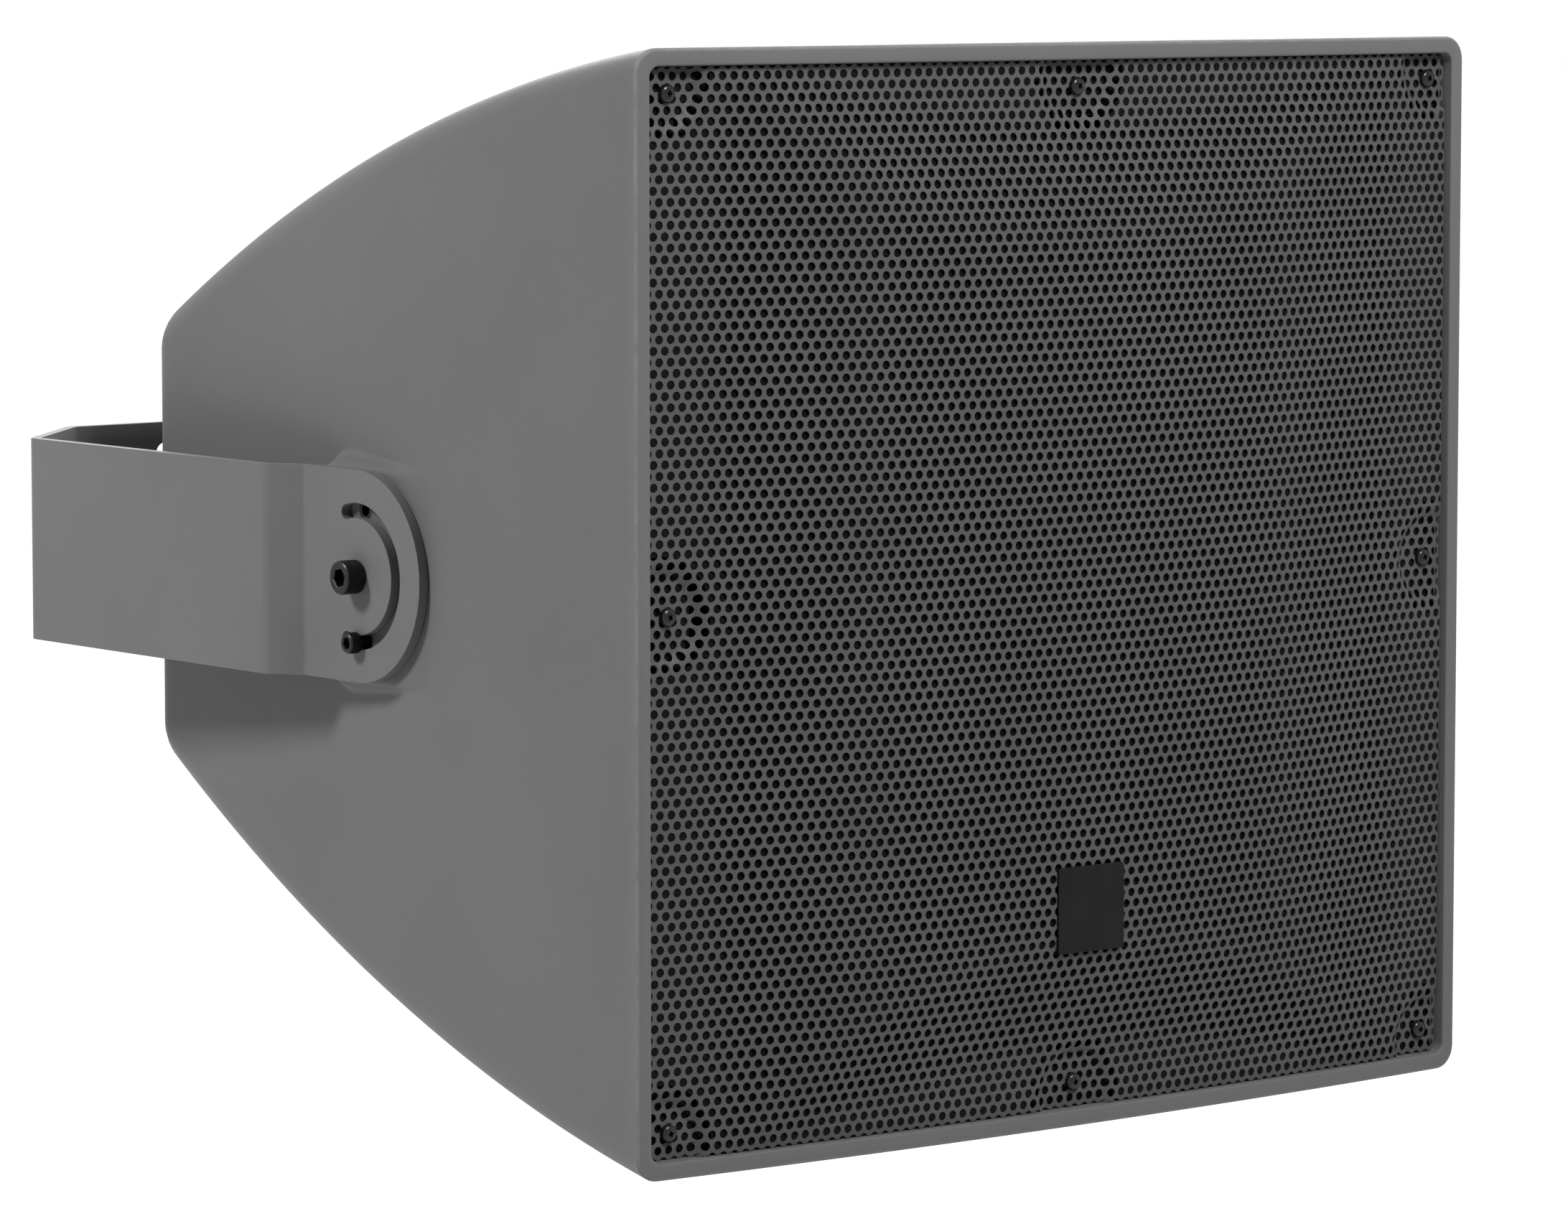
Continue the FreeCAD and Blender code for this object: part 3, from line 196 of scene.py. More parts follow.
blackPlastic = paint("blackPlastic", {
    "dark": grey(0.011), "light": grey(0.018), "cloud": 50, "grain": 1400, "peel": 380,
    "rough": (0.45, 0.62), "gloss": 0.45, "peelBump": 0.1, "grainBump": 0.2,
})
blackRubber = paint("blackRubber", {
    "dark": grey(0.009), "light": grey(0.016), "cloud": 40, "grain": 900, "peel": 260,
    "rough": (0.62, 0.82), "gloss": 0.3, "peelBump": 0.1, "grainBump": 0.25,
})
basketPaint = paint("basketPaint", {
    "dark": grey(0.016), "light": grey(0.026), "cloud": 30, "grain": 1300, "peel": 480,
    "rough": (0.4, 0.56), "gloss": 0.45, "peelBump": 0.2, "grainBump": 0.2,
})
componentShell = paint("componentShell", {
    "dark": (0.17, 0.1, 0.024), "light": (0.22, 0.135, 0.035), "cloud": 60, "grain": 900, "peel": 300,
    "rough": (0.18, 0.3), "gloss": 0.5, "peelBump": 0.05, "grainBump": 0.06,
})
resistorWhite = paint("resistorWhite", {
    "dark": (0.6, 0.6, 0.55), "light": (0.72, 0.72, 0.67), "cloud": 90, "grain": 1800, "peel": 600,
    "rough": (0.6, 0.8), "gloss": 0.4, "peelBump": 0.15, "grainBump": 0.3,
})
ferrite = paint("ferrite", {
    "dark": grey(0.035), "light": grey(0.06), "cloud": 70, "grain": 2200, "peel": 800,
    "rough": (0.5, 0.7), "gloss": 0.45, "peelBump": 0.15, "grainBump": 0.35,
})
print("painted finishes made")


def metal(name, look):
    # bare metal with drawn or turned lines and dull patches
    finish, tree, shader, coords = startFinish(name)
    lines = noiseOf(tree, coords, look["lines"], rough=0.6, squeeze=look["run"])
    patches = noiseOf(tree, coords, look["cloud"], detail=4)
    tree.links.new(tones(tree, patches, look["dark"], look["light"]), shader.inputs["Base Color"])
    tree.links.new(spread(tree, lines, *look["rough"]), shader.inputs["Roughness"])
    shader.inputs["Metallic"].default_value = 1.0
    bumps(tree, shader, (lines, look["bump"], bumpDepth["grain"]))
    return finish


insertBrass = metal("insertBrass", {
    "dark": (0.42, 0.38, 0.31), "light": (0.6, 0.55, 0.45), "lines": 900, "run": (0.2, 1, 1),
    "cloud": 160, "rough": (0.25, 0.42), "bump": 0.15,
})
motorSteel = metal("motorSteel", {
    "dark": (0.44, 0.44, 0.46), "light": (0.56, 0.56, 0.57), "lines": 700, "run": (1, 0.1, 1),
    "cloud": 40, "rough": (0.28, 0.46), "bump": 0.15,
})
formerMetal = metal("formerMetal", {
    "dark": (0.62, 0.62, 0.63), "light": (0.74, 0.74, 0.74), "lines": 900, "run": (1, 0.1, 1),
    "cloud": 90, "rough": (0.2, 0.38), "bump": 0.1,
})
coreSteel = metal("coreSteel", {
    "dark": (0.1, 0.085, 0.075), "light": (0.18, 0.155, 0.14), "lines": 1400, "run": (0.02, 1, 0.02),
    "cloud": 60, "rough": (0.35, 0.6), "bump": 0.5,
})


def openFoam(name, look):
    # open cells that swallow most of the light
    finish, tree, shader, coords = startFinish(name)
    cells = tree.nodes.new("ShaderNodeTexVoronoi")
    cells.inputs["Scale"].default_value = look["cells"]
    tree.links.new(coords, cells.inputs["Vector"])
    colour = tones(tree, cells.outputs["Distance"], look["dark"], look["light"], start=0.1, end=0.7)
    tree.links.new(colour, shader.inputs["Base Color"])
    tree.links.new(spread(tree, cells.outputs["Distance"], *look["rough"]), shader.inputs["Roughness"])
    shader.inputs["Specular IOR Level"].default_value = look["gloss"]
    bumps(tree, shader, (cells.outputs["Distance"], look["bump"], bumpDepth["cells"]))
    return finish


blackFoam = openFoam("blackFoam", {
    "cells": 900, "dark": grey(0.003), "light": grey(0.008), "rough": (0.85, 1.0), "gloss": 0.1, "bump": 0.6,
})


def wound(name, look):
    # close turns of varnished wire
    finish, tree, shader, coords = startFinish(name)
    turns = waveOf(tree, coords, look["turns"], look["axis"], look["waver"])
    dirt = noiseOf(tree, coords, look["dirt"])
    tree.links.new(blendTones(tree, turns, look["dark"], tones(tree, dirt, look["mid"], look["light"])),
                   shader.inputs["Base Color"])
    tree.links.new(spread(tree, dirt, *look["rough"]), shader.inputs["Roughness"])
    shader.inputs["Metallic"].default_value = look["metal"]
    bumps(tree, shader, (turns, look["bump"], bumpDepth["threads"]))
    return finish


copperWire = wound("copperWire", {
    "turns": 420, "axis": "Y", "waver": 0.2, "dirt": 80, "dark": (0.16, 0.05, 0.02), "mid": (0.5, 0.19, 0.08),
    "light": (0.66, 0.28, 0.13), "rough": (0.22, 0.4), "metal": 0.9, "bump": 0.6,
})


def woven(name, look):
    # threads that cross both ways
    finish, tree, shader, coords = startFinish(name)
    across = waveOf(tree, coords, look["threads"], "X", look["waver"])
    along = waveOf(tree, coords, look["threads"], "Z", look["waver"])
    weave = tree.nodes.new("ShaderNodeMath")
    weave.operation = "MULTIPLY"
    tree.links.new(across, weave.inputs[0])
    tree.links.new(along, weave.inputs[1])
    colour = tones(tree, weave.outputs[0], look["dark"], look["light"], start=0.0, end=0.8)
    tree.links.new(colour, shader.inputs["Base Color"])
    dirt = noiseOf(tree, coords, look["dirt"])
    tree.links.new(spread(tree, dirt, *look["rough"]), shader.inputs["Roughness"])
    bumps(tree, shader, (weave.outputs[0], look["bump"], bumpDepth["threads"]))
    return finish


spiderCloth = woven("spiderCloth", {
    "threads": 380, "waver": 0.3, "dirt": 200, "dark": (0.28, 0.15, 0.05), "light": (0.55, 0.34, 0.14),
    "rough": (0.6, 0.85), "bump": 0.6,
})


def pulped(name, look):
    # pressed paper: long fibres and dull mottling
    finish, tree, shader, coords = startFinish(name)
    fibre = noiseOf(tree, coords, look["fibre"], detail=6, rough=0.7, squeeze=look["run"])
    cloud = noiseOf(tree, coords, look["cloud"], detail=4)
    tree.links.new(tones(tree, cloud, look["dark"], look["light"]), shader.inputs["Base Color"])
    tree.links.new(spread(tree, fibre, *look["rough"]), shader.inputs["Roughness"])
    bumps(tree, shader, (fibre, look["bump"], bumpDepth["threads"]))
    return finish


conePaper = pulped("conePaper", {
    "fibre": 380, "run": (1, 0.3, 1), "cloud": 30, "dark": (0.014, 0.014, 0.016),
    "light": (0.026, 0.026, 0.028), "rough": (0.6, 0.9), "bump": 0.4,
})


def planked(name, look):
    # stained board: long grain over wavering rings
    finish, tree, shader, coords = startFinish(name)
    grain = noiseOf(tree, coords, look["grain"], detail=6, rough=0.65, squeeze=look["run"])
    rings = waveOf(tree, coords, look["rings"], "Z", look["waver"])
    tree.links.new(blendTones(tree, rings, look["dark"], tones(tree, grain, look["dark"], look["light"])),
                   shader.inputs["Base Color"])
    tree.links.new(spread(tree, grain, *look["rough"]), shader.inputs["Roughness"])
    bumps(tree, shader, (grain, look["bump"], bumpDepth["peel"]))
    return finish


baffleWood = planked("baffleWood", {
    "grain": 160, "run": (0.12, 1, 1), "rings": 26, "waver": 6.0, "dark": (0.03, 0.022, 0.016),
    "light": (0.07, 0.055, 0.04), "rough": (0.5, 0.75), "bump": 0.3,
})


def etched(name, look):
    # solder mask over copper tracks
    finish, tree, shader, coords = startFinish(name)
    cells = tree.nodes.new("ShaderNodeTexVoronoi")
    cells.distance = "CHEBYCHEV"
    cells.inputs["Scale"].default_value = look["tracks"]
    tree.links.new(coords, cells.inputs["Vector"])
    colour = tones(tree, cells.outputs["Distance"], look["dark"], look["light"], start=0.25, end=0.3)
    tree.links.new(colour, shader.inputs["Base Color"])
    dirt = noiseOf(tree, coords, look["dirt"])
    tree.links.new(spread(tree, dirt, *look["rough"]), shader.inputs["Roughness"])
    bumps(tree, shader, (cells.outputs["Distance"], look["bump"], bumpDepth["tracks"]))
    return finish


boardGreen = etched("boardGreen", {
    "tracks": 140, "dirt": 300, "dark": (0.018, 0.1, 0.04), "light": (0.03, 0.16, 0.065),
    "rough": (0.22, 0.36), "bump": 0.1,
})
print("bare and woven finishes made")

nodeFinishes = {
    "grille_foam": blackFoam, "grille_inserts": insertBrass, "pivot_inserts": blackSteel,
    "lock_inserts": blackSteel, "baffle_board": baffleWood, "woofer_basket": basketPaint,
    "woofer_screws": blackSteel, "woofer_gasket": blackRubber, "surround": blackRubber,
    "spider": spiderCloth, "top_plate": motorSteel, "magnet_ring": ferrite, "pole_yoke": motorSteel,
    "horn": blackPlastic, "tweeter_driver": ferrite, "tweeter_cap": blackPlastic,
    "plate_gasket": blackRubber, "gland_locknut": blackPlastic, "crossover_board": boardGreen,
    "board_standoffs": formerMetal, "board_screws": blackSteel, "inductor_coils": copperWire,
    "capacitors": componentShell, "power_resistor": resistorWhite, "terminal_block": blackPlastic,
    "transformer_core": coreSteel, "transformer_winding": copperWire, "transformer_feet": motorSteel,
    "transformer_screws": blackSteel, "cone": conePaper, "voice_coil_former": formerMetal,
    "voice_coil_winding": copperWire,
}
for nodeName, finish in nodeFinishes.items():
    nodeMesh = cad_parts[nodeName].data
    nodeMesh.materials.clear()
    nodeMesh.materials.append(finish)
print("finishes laid on", len(nodeFinishes), "CAD nodes")


# most pieces are drawn in millimetres and scaled to metres when they are placed
def asMesh(bm, name):
    mesh = bpy.data.meshes.new(name)
    bm.to_mesh(mesh)
    bm.free()
    return mesh


def putIn(name, data):
    item = bpy.data.objects.new(name, data)
    scene.collection.objects.link(item)
    return item


def meshPiece(bm, name, finish, sharpAngle):
    mesh = asMesh(bm, name)
    mesh.polygons.foreach_set("use_smooth", [True] * len(mesh.polygons))
    mesh.set_sharp_from_angle(angle=math.radians(sharpAngle))
    mesh.materials.append(finish)
    return putIn(name, mesh)


def placePiece(bm, name, body, finish, replaced, sharpAngle=32):
    bmesh.ops.scale(bm, vec=(0.001, 0.001, 0.001), verts=bm.verts[:])
    piece = meshPiece(bm, name, finish, sharpAngle)
    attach(piece, body)
    if replaced:
        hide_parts(*replaced)
    return piece


def thicken(piece, name, thick):
    wall = piece.modifiers.new(name, "SOLIDIFY")
    wall.thickness = thick / 1000
    wall.offset = -1
    wall.use_even_offset = False


# turns that make an upright piece face the front, the back or the right side
faceFront = Matrix.Rotation(math.pi / 2, 4, "X")
faceBack = Matrix.Rotation(-math.pi / 2, 4, "X")
faceSide = Matrix.Rotation(math.pi / 2, 4, "Y")
nearby = 0.001  # millimetres within which points count as one


def softMax(a, b, reach):
    if reach <= 0:
        return max(a, b)
    near = max(reach - abs(a - b), 0) / reach
    return max(a, b) + near * near * reach / 4


def softMin(a, b, reach):
    return -softMax(-a, -b, reach)


def extrudeLoop(bm, edges):
    grown = bmesh.ops.extrude_edge_only(bm, edges=edges)["geom"]
    verts = [g for g in grown if isinstance(g, bmesh.types.BMVert)]
    fresh = set(verts)
    rim = [g for g in grown if isinstance(g, bmesh.types.BMEdge) and all(v in fresh for v in g.verts)]
    return rim, verts


def facingFront(bm):
    turned = [f for f in bm.faces if f.normal.y > 0]
    bmesh.ops.reverse_faces(bm, faces=turned)
    return bm


def trim(bm, place, out, geom=None, dist=nearby):
    # cuts away what lies past a plane and gives the cut edges back
    if geom is None:
        geom = bm.verts[:] + bm.edges[:] + bm.faces[:]
    cut = bmesh.ops.bisect_plane(bm, geom=geom, dist=dist, plane_co=place, plane_no=out, clear_outer=True)
    return [g for g in cut["geom_cut"] if isinstance(g, bmesh.types.BMEdge)]


def rimEdges(bm, test):
    return [e for e in bm.edges if len(e.link_faces) == 1 and all(test(v.co) for v in e.verts)]


# cabinet moulding: tapering sides, arched top and bottom, bowed front with a recessed mouth
cabinet = {
    "frontY": -561.5, "rearY": -71.5, "frontHalf": 250.5, "rearHalf": 179.5, "frontTop": 250.0,
    "rearTop": 108.5, "bow": 10.7, "archRadius": 1490.0, "cornerFront": 11.0, "cornerRear": 20.0,
    "rearRounding": 18.0, "rimRounding": 1.8, "mouthRounding": 1.2, "rimWidth": 8.0, "mouthCorner": 5.0,
    "flangeSet": 8.8, "flangeHalf": 216.5, "flangeCorner": 18.0, "flangeThick": 7.2, "wall": 6.0,
    "portWide": 104.0, "portHigh": 64.0, "unitCorner": 0.1, "cuts": 61, "cornerSteps": 8, "bowFade": 0.5,
    "rearSteps": 8, "rimSteps": 5, "lipSteps": 3, "innerSteps": 8, "innerGap": 1.0, "leastCorner": 3.0,
    # the rear and lip wear values set how much lighter those roundings are: wear plus a painted highlight
    "cornerShrink": 0.9, "rearWearHighlight": 0.25, "lipWearHighlight": 0.15, "mouthSearch": 25.0,
}
bowRadius = (cabinet["frontHalf"] ** 2 + cabinet["bow"] ** 2) / (2 * cabinet["bow"])
depth = cabinet["rearY"] - cabinet["frontY"]
topDrop = cabinet["frontTop"] - cabinet["rearTop"]
archChord = math.hypot(depth, topDrop)
archSink = math.sqrt(cabinet["archRadius"] ** 2 - archChord ** 2 / 4)
archY = cabinet["frontY"] + depth / 2 - archSink * topDrop / archChord
archZ = (cabinet["frontTop"] + cabinet["rearTop"]) / 2 - archSink * depth / archChord


def bowAt(x):
    return cabinet["frontY"] - cabinet["bow"] + bowRadius - math.sqrt(bowRadius ** 2 - x * x)


def sideAt(y):
    taper = cabinet["frontHalf"] - cabinet["rearHalf"]
    return cabinet["frontHalf"] - taper * (y - cabinet["frontY"]) / depth


def topAt(y):
    return min(cabinet["frontTop"], archZ + math.sqrt(cabinet["archRadius"] ** 2 - (y - archY) ** 2))


def cornerAt(y):
    along = min(1, max(0, (y - cabinet["frontY"]) / depth))
    return cabinet["cornerFront"] + (cabinet["cornerRear"] - cabinet["cornerFront"]) * along


def sectionSide(unit, half, corner):
    # a unit rounded square's coordinate, stretched to a half width and a corner radius
    flat = 1 - cabinet["unitCorner"]
    turn = max(0, abs(unit) - flat) / cabinet["unitCorner"]
    return math.copysign(min(abs(unit), flat) / flat * (half - corner) + turn * corner, unit)


def buildCabinet():
    bm = bmesh.new()
    bmesh.ops.create_cube(bm, size=2)
    longEdges = [e for e in bm.edges if abs(e.verts[0].co.y - e.verts[1].co.y) > 1]
    bmesh.ops.bevel(bm, geom=longEdges, offset=cabinet["unitCorner"], segments=cabinet["cornerSteps"],
                    profile=0.5, affect="EDGES", material=-1)
    caps = [f for f in bm.faces if abs(f.normal.y) > 0.9]
    bmesh.ops.delete(bm, geom=caps, context="FACES_ONLY")
    for axis in range(3):
        straight = [e for e in bm.edges if abs(e.verts[0].co[axis] - e.verts[1].co[axis]) > 1]
        bmesh.ops.subdivide_edges(bm, edges=straight, cuts=cabinet["cuts"], use_grid_fill=True)
    unit = bm.verts.layers.float_vector.new("unit")
    # how much each point's colour is lightened by edge wear and a painted highlight
    wearAndHighlight = bm.verts.layers.float.new("wearAndHighlight")
    for v in bm.verts:
        v[unit] = v.co.copy()

    def settle(v, half, top, corner, y):
        v.co = (sectionSide(v[unit].x, half, corner), y, sectionSide(v[unit].z, top, corner))

    first = cabinet["frontY"] + cabinet["rimRounding"]
    last = cabinet["rearY"] - cabinet["rearRounding"]
    for v in bm.verts:
        share = (v[unit].y + 1) / 2
        y = first + (last - first) * share
        x = sectionSide(v[unit].x, sideAt(y), cornerAt(y))
        y += max(0, 1 - share / cabinet["bowFade"]) ** 2 * (bowAt(x) - cabinet["frontY"])
        settle(v, sideAt(y), topAt(y), cornerAt(y), y)
        v[wearAndHighlight] = 0.0

    # rear: rounded over, then a flat back with the connection port
    edges = rimEdges(bm, lambda co: co.y > last - 1)
    for step in range(1, cabinet["rearSteps"] + 1):
        angle = step / cabinet["rearSteps"] * math.pi / 2
        edges, verts = extrudeLoop(bm, edges)
        y = last + cabinet["rearRounding"] * math.sin(angle)
        inset = cabinet["rearRounding"] * (1 - math.cos(angle))
        corner = max(cabinet["leastCorner"], cornerAt(y) - inset * cabinet["cornerShrink"])
        for v in verts:
            settle(v, sideAt(y) - inset, topAt(y) - inset, corner, y)
            # wear and painted highlight, strongest half-way round the rear rounding
            v[wearAndHighlight] = cabinet["rearWearHighlight"] * math.sin(2 * angle)
    backEdges = edges

    # front: rounded rim, mouth, flange, then the inside walls
    steps = []  # inset, setback, and edge wear with painted highlight of each loop
    rim = cabinet["rimRounding"]
    for step in range(1, cabinet["rimSteps"] + 1):
        angle = step / cabinet["rimSteps"] * math.pi / 2
        steps.append((rim * (1 - math.cos(angle)), rim * (1 - math.sin(angle)), math.sin(2 * angle)))
    lip = cabinet["mouthRounding"]
    for step in range(0, cabinet["lipSteps"] + 1):
        angle = step / cabinet["lipSteps"] * math.pi / 2
        steps.append((cabinet["rimWidth"] - lip + lip * math.sin(angle), lip - lip * math.cos(angle),
                      cabinet["lipWearHighlight"] * math.sin(2 * angle)))
    steps.append((cabinet["rimWidth"], cabinet["flangeSet"], 0))
    edges = rimEdges(bm, lambda co: co.y < cabinet["frontY"] + cabinet["mouthSearch"])
    slope = (cabinet["cornerFront"] - cabinet["mouthCorner"]) / cabinet["rimWidth"]
    for inset, setback, wearHighlight in steps:
        edges, verts = extrudeLoop(bm, edges)
        for v in verts:
            settle(v, cabinet["frontHalf"] - inset, cabinet["frontTop"] - inset,
                   cabinet["cornerFront"] - slope * inset, 0)
            v.co.y = bowAt(v.co.x) + setback
            # wear and painted highlight on the rim's and the mouth lip's roundings
            v[wearAndHighlight] = wearHighlight
    for setback in (cabinet["flangeSet"], cabinet["flangeSet"] + cabinet["flangeThick"]):
        edges, verts = extrudeLoop(bm, edges)
        for v in verts:
            settle(v, cabinet["flangeHalf"], cabinet["flangeHalf"], cabinet["flangeCorner"], 0)
            v.co.y = bowAt(v.co.x) + setback
            v[wearAndHighlight] = 0.0
    start = cabinet["frontY"] + cabinet["flangeSet"] + cabinet["flangeThick"] + cabinet["innerGap"]
    end = cabinet["rearY"] - cabinet["wall"]
    for step in range(0, cabinet["innerSteps"] + 1):
        y = start + (end - start) * step / cabinet["innerSteps"]
        edges, verts = extrudeLoop(bm, edges)
        for v in verts:
            settle(v, sideAt(y) - cabinet["wall"], topAt(y) - cabinet["wall"],
                   cornerAt(y) - cabinet["wall"], y)
    ports = []  # the connection port, through the flat back
    for ring, y in ((backEdges, cabinet["rearY"]), (edges, end)):
        corners = [bm.verts.new((a * cabinet["portWide"] / 2, y, b * cabinet["portHigh"] / 2))
                   for a, b in ((-1, -1), (1, -1), (1, 1), (-1, 1))]
        port = [bm.edges.new((corners[i], corners[(i + 1) % 4])) for i in range(4)]
        bmesh.ops.triangle_fill(bm, edges=ring + port, use_beauty=True)
        ports += port
    bmesh.ops.bridge_loops(bm, edges=ports)
    return bm, unit


# flat pads that the bracket's ears turn on, wedges growing out of the tapering sides
pad = {
    "y": -317.5, "face": 222.4, "half": 51.0, "front": 82.0, "corner": 28.0, "edge": 2.0, "draft": 2.1,
    "foot": 2.5, "footFrom": 46.0, "footBlend": 6.0, "reach": 78.0, "core": 44.0, "rings": 42, "gapY": 94.0,
    "gapZ": 90.0, "skin": 0.5, "slack": 0.001, "lockOrbit": 31.0, "lockHole": 5.05, "pivotHole": 8.05,
    "holeDeep": 19.0, "holeSides": 32,
}


def padAt(y, z):
    inner = pad["half"] - pad["corner"]
    outY = max(0, y - pad["y"] - inner, pad["y"] - y - (pad["front"] - pad["corner"]))
    outZ = max(0, abs(z) - inner)
    run = math.hypot(outY, outZ) - pad["corner"]
    rise = max(0, run + pad["edge"])
    drop = pad["draft"] * (rise * rise / (4 * pad["edge"]) if rise < 2 * pad["edge"] else rise - pad["edge"])
    # the foot is softened above, below and behind, and runs out into the side in front
    far = max(abs(z), y - pad["y"]) - pad["footFrom"]
    return softMax(sideAt(y), pad["face"] - drop, pad["foot"] * min(1, max(0, far / pad["footBlend"])))


def growPads(bm, unit):
    def onSide(v, side):
        return abs(v.co.x - side * sideAt(v.co.y)) < pad["skin"]

    spanY = [v[unit].y for v in bm.verts if onSide(v, 1) and abs(v.co.y - pad["y"]) < pad["gapY"]]
    first = min(spanY) - pad["slack"]
    last = max(spanY) + pad["slack"]
    reachZ = pad["gapZ"] / topAt(pad["y"])

    def inPatch(v, side):
        return onSide(v, side) and first <= v[unit].y <= last and abs(v[unit].z) < reachZ

    for side in (-1, 1):
        patch = [f for f in bm.faces if all(inPatch(v, side) for v in f.verts)]
        inside = set(patch)
        border = [e for f in patch for e in f.edges if len([g for g in e.link_faces if g in inside]) == 1]
        bmesh.ops.delete(bm, geom=patch, context="FACES")
        made = bmesh.ops.create_circle(bm, cap_ends=False, radius=pad["reach"], segments=len(border),
                                       matrix=Matrix.Translation((0, pad["y"], 0)) @ faceSide)
        circle = list({e for v in made["verts"] for e in v.link_edges})
        for v in made["verts"]:
            v.co.x = side * padAt(v.co.y, v.co.z)
        bmesh.ops.bridge_loops(bm, edges=border + circle)
        edges = circle
        radius = pad["reach"]
        for step in range(1, pad["rings"] + 1):
            wanted = pad["reach"] + (pad["core"] - pad["reach"]) * step / pad["rings"]
            edges, verts = extrudeLoop(bm, edges)
            for v in verts:
                y = pad["y"] + (v.co.y - pad["y"]) * wanted / radius
                z = v.co.z * wanted / radius
                v.co = (side * padAt(y, z), y, z)
            radius = wanted
        holes = []
        for height, hole in ((0, pad["pivotHole"]), (pad["lockOrbit"], pad["lockHole"]),
                             (-pad["lockOrbit"], pad["lockHole"])):
            place = Matrix.Translation((side * pad["face"], pad["y"], height))
            made = bmesh.ops.create_circle(bm, cap_ends=False, radius=hole, segments=pad["holeSides"],
                                           matrix=place @ faceSide)
            holes.append(list({e for v in made["verts"] for e in v.link_edges}))
        bmesh.ops.triangle_fill(bm, edges=edges + sum(holes, []), use_beauty=True)
        for hole in holes:
            rim, verts = extrudeLoop(bm, hole)
            for v in verts:
                v.co.x -= side * pad["holeDeep"]
            bmesh.ops.edgeloop_fill(bm, edges=rim)


cabinetMesh, unitLayer = buildCabinet()
growPads(cabinetMesh, unitLayer)
bmesh.ops.recalc_face_normals(cabinetMesh, faces=cabinetMesh.faces[:])
cabinetSkin = placePiece(cabinetMesh, "cabinetMoulding", "cabinet", cabinetPaint,
                         ["cabinet_shell"], sharpAngle=40)
print("cabinet moulding:", len(cabinetSkin.data.polygons), "faces")


# perforated grille: staggered round holes in a bowed sheet with a raised panel and pressed screw seats
sheet = {
    "pitchX": 6.0, "pitchZ": 5.0, "hole": 2.1, "sides": 10, "half": 241.7, "corner": 4.2, "recess": 4.2,
    "thick": 0.7, "crownRadius": 1556.0, "crownY": -578.0, "flankX": 6.63, "flankZ": 5.0, "baseX": 221.83,
    "baseZ": 259.5, "flankY": -558.5, "seatRun": 230.0, "seatOut": 5.0, "seatDrop": 6.5, "seatRadius": 19.0,
    "seatSlope": 0.875, "seatReach": 60.0, "crease": 2.4, "seatCrease": 2.0, "bands": 3, "shift": -1.2,
    "spareColumns": 4, "spareRows": 3, "weld": 0.02, "cornerCuts": (22.5, 45, 67.5), "cornerReach": 20.0,
}
seatPlaces = [(a, b) for a in (-1, 0, 1) for b in (-1, 0, 1) if a or b]


def sheetFront(x, z):
    base = bowAt(x) + sheet["recess"]
    flankX = sheet["flankY"] - (sheet["baseX"] - abs(x)) / sheet["flankX"]
    flankZ = sheet["flankY"] - (sheet["baseZ"] - abs(z)) / sheet["flankZ"]
    crown = sheet["crownY"] + sheet["crownRadius"] - math.sqrt(sheet["crownRadius"] ** 2 - x * x)
    panel = softMax(softMax(flankX, flankZ, sheet["crease"]), crown, sheet["crease"])
    y = softMin(base, panel, sheet["crease"])
    for a, b in seatPlaces:
        middle = sheet["seatRun"] + sheet["seatOut"]
        run = math.hypot(x - a * middle, z - b * middle)
        if run < sheet["seatReach"]:
            bed = bowAt(a * sheet["seatRun"]) + sheet["seatDrop"]
            bank = max(0, run - sheet["seatRadius"]) * sheet["seatSlope"]
            y = softMax(y, bed - bank, sheet["seatCrease"])
    return y


